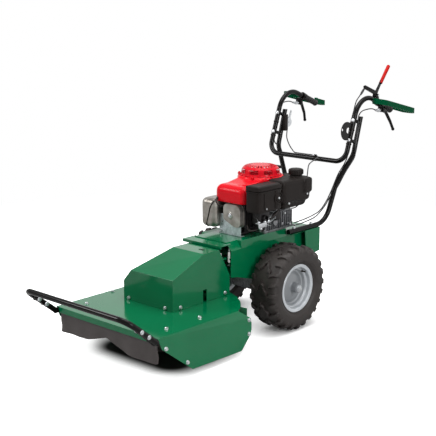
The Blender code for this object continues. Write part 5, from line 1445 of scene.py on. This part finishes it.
# Spindle: a cast housing bolted under the deck, a bar blade sharpened on both leading edges, and a pressed
# dish below it on which the deck slides over the ground, bare steel scoured bright by grass.
scoured_steel, tree, shader, place = finish("scoured_steel", Metallic=1.0)
graze = add(tree, "TexNoise", {"Scale": 24.0, "Detail": 6.0, "Roughness": 0.7}, Vector=place).outputs["Fac"]
scratch = add(tree, "TexNoise", {"Scale": 420.0, "Detail": 2.0}, Vector=place).outputs["Fac"]
work_in(
    tree, shader, graze, "#625D57", "#9C9790",
    rough=(0.55, 0.28), ends=(0.38, 0.66), relief=(scratch, 0.2, 0.0003),
)

dress("spindle_housing", cast_alloy, 0.8)
corners = [math.radians(45 + 90 * k) for k in range(4)]
heads = [(around((0, SPINDLE_Y), 45, a, 225.6), UP, 13, 7, 9) for a in corners]
bolts("spindle_bolts", "deck", heads)
bm = bmesh.new()
half = [(-297, -45), (152, -45), (285, -31), (305, 35)]
outline = [(s * x, SPINDLE_Y + s * y) for s in (1, -1) for x, y in half]
slab(bm, outline, "XY", 88, 8, edge=0.6)
for s in (1, -1):
    lift = [
        (s * 180, SPINDLE_Y + s * 43, 90), (s * 236, SPINDLE_Y + s * 43, 91),
        (s * 290, SPINDLE_Y + s * 43, 91),
    ]
    pipe(bm, lift, [1.2, 1.9, 1.2], 8)
piece("bar_blade", bm, [scoured_steel], "blade_rotor", ["blade"], 30)
bm = bmesh.new()
dish = [
    (0, 83.6), (34, 83.6), (34, 15), (42, 13.4), (60, 13.6), (82, 20.5), (104, 31), (122, 43.6),
    (136, 57), (143, 69), (147, 79.6), (149.4, 81), (151.6, 79), (148, 67), (141, 53), (126, 38.4),
    (107, 25.6), (84, 14.6), (61, 7), (43, 3), (25, 1), (12, 0.3), (0, 0.1),
]
lathe(bm, dish, (0, SPINDLE_Y, 0), UP, 80)
piece("skid_dish_pressing", bm, [scoured_steel], "blade_rotor", ["skid_dish"], 45)

# Flap rod and lock: a bright plated rod through the flap's hem, with its ends chamfered, and the pin that
# locks the deck's roll, with a collar turned on it below its head.
bm = bmesh.new()
lathe(
    bm, [(0, -316.6), (4.2, -316.6), (5, -315.6), (5, 315.6), (4.2, 316.6), (0, 316.6)],
    (0, FLAP_Y, FLAP_Z), ALONG_X, 24,
)
piece("flap_hinge_rod", bm, [zinc_plate], "deck", ["flap_rod"], 40)
LOCK_AT = (88, -326)
bm = bmesh.new()
lathe(bm, [(0, 300), (4, 300), (6, 303), (6, 410), (5, 411.6), (0, 411.6)], (*LOCK_AT, 0), UP, 28)
lathe(
    bm, [(6, 388.6), (10.6, 388.6), (10.8, 389.2), (10.8, 393), (10, 393.8), (6, 393.8)], (*LOCK_AT, 0), UP,
    28, closed=True,
)
piece("lock_bolt", bm, [zinc_plate], "lock", ["lock_pin"], 40)

# Guide stud: a bright plated stud in a near-white sleeve, whose white is a painted highlight. It stands in
# the cross strip of the lock, at the frame's front corner.
STUD_AT = (115, -294)
# The sleeve's near white is a painted highlight on the stud in the shaded gap.
painted_highlight_white, tree, shader, place = finish("near_white_painted_highlight", Roughness=0.4)
grain = add(tree, "TexNoise", {"Scale": 120.0, "Detail": 3.0}, Vector=place).outputs["Fac"]
work_in(tree, shader, grain, "#EDEDE8", "#FBFBF8")
bm = bmesh.new()
stud = [
    (0, 350), (3, 350), (3.6, 351), (3.6, 427), (5.6, 427.6), (6, 429), (6, 435), (5.4, 437), (3.4, 438),
    (0, 438),
]
sleeve = [(3.6, 368), (7.4, 368), (7.9, 369), (7.9, 417), (7.4, 418), (3.6, 418)]
lathe(bm, stud, (*STUD_AT, 0), UP, 28)
lathe(bm, sleeve, (*STUD_AT, 0), UP, 28, closed=True, index=1)
piece("guide_stud", bm, [zinc_plate, painted_highlight_white], "chassis")

# Slot shade: a thin block of the black plastic in the lifting slot in the belt cover's top, almost flush
# with it, a painted shade that makes the slot look dark.
bm = bmesh.new()
block(bm, (50.5, 79.5), (-438, -426), (445.5, 448.6), 1.2, 3)
piece("cover_slot_painted_shade", bm, [black_moulding], "deck")
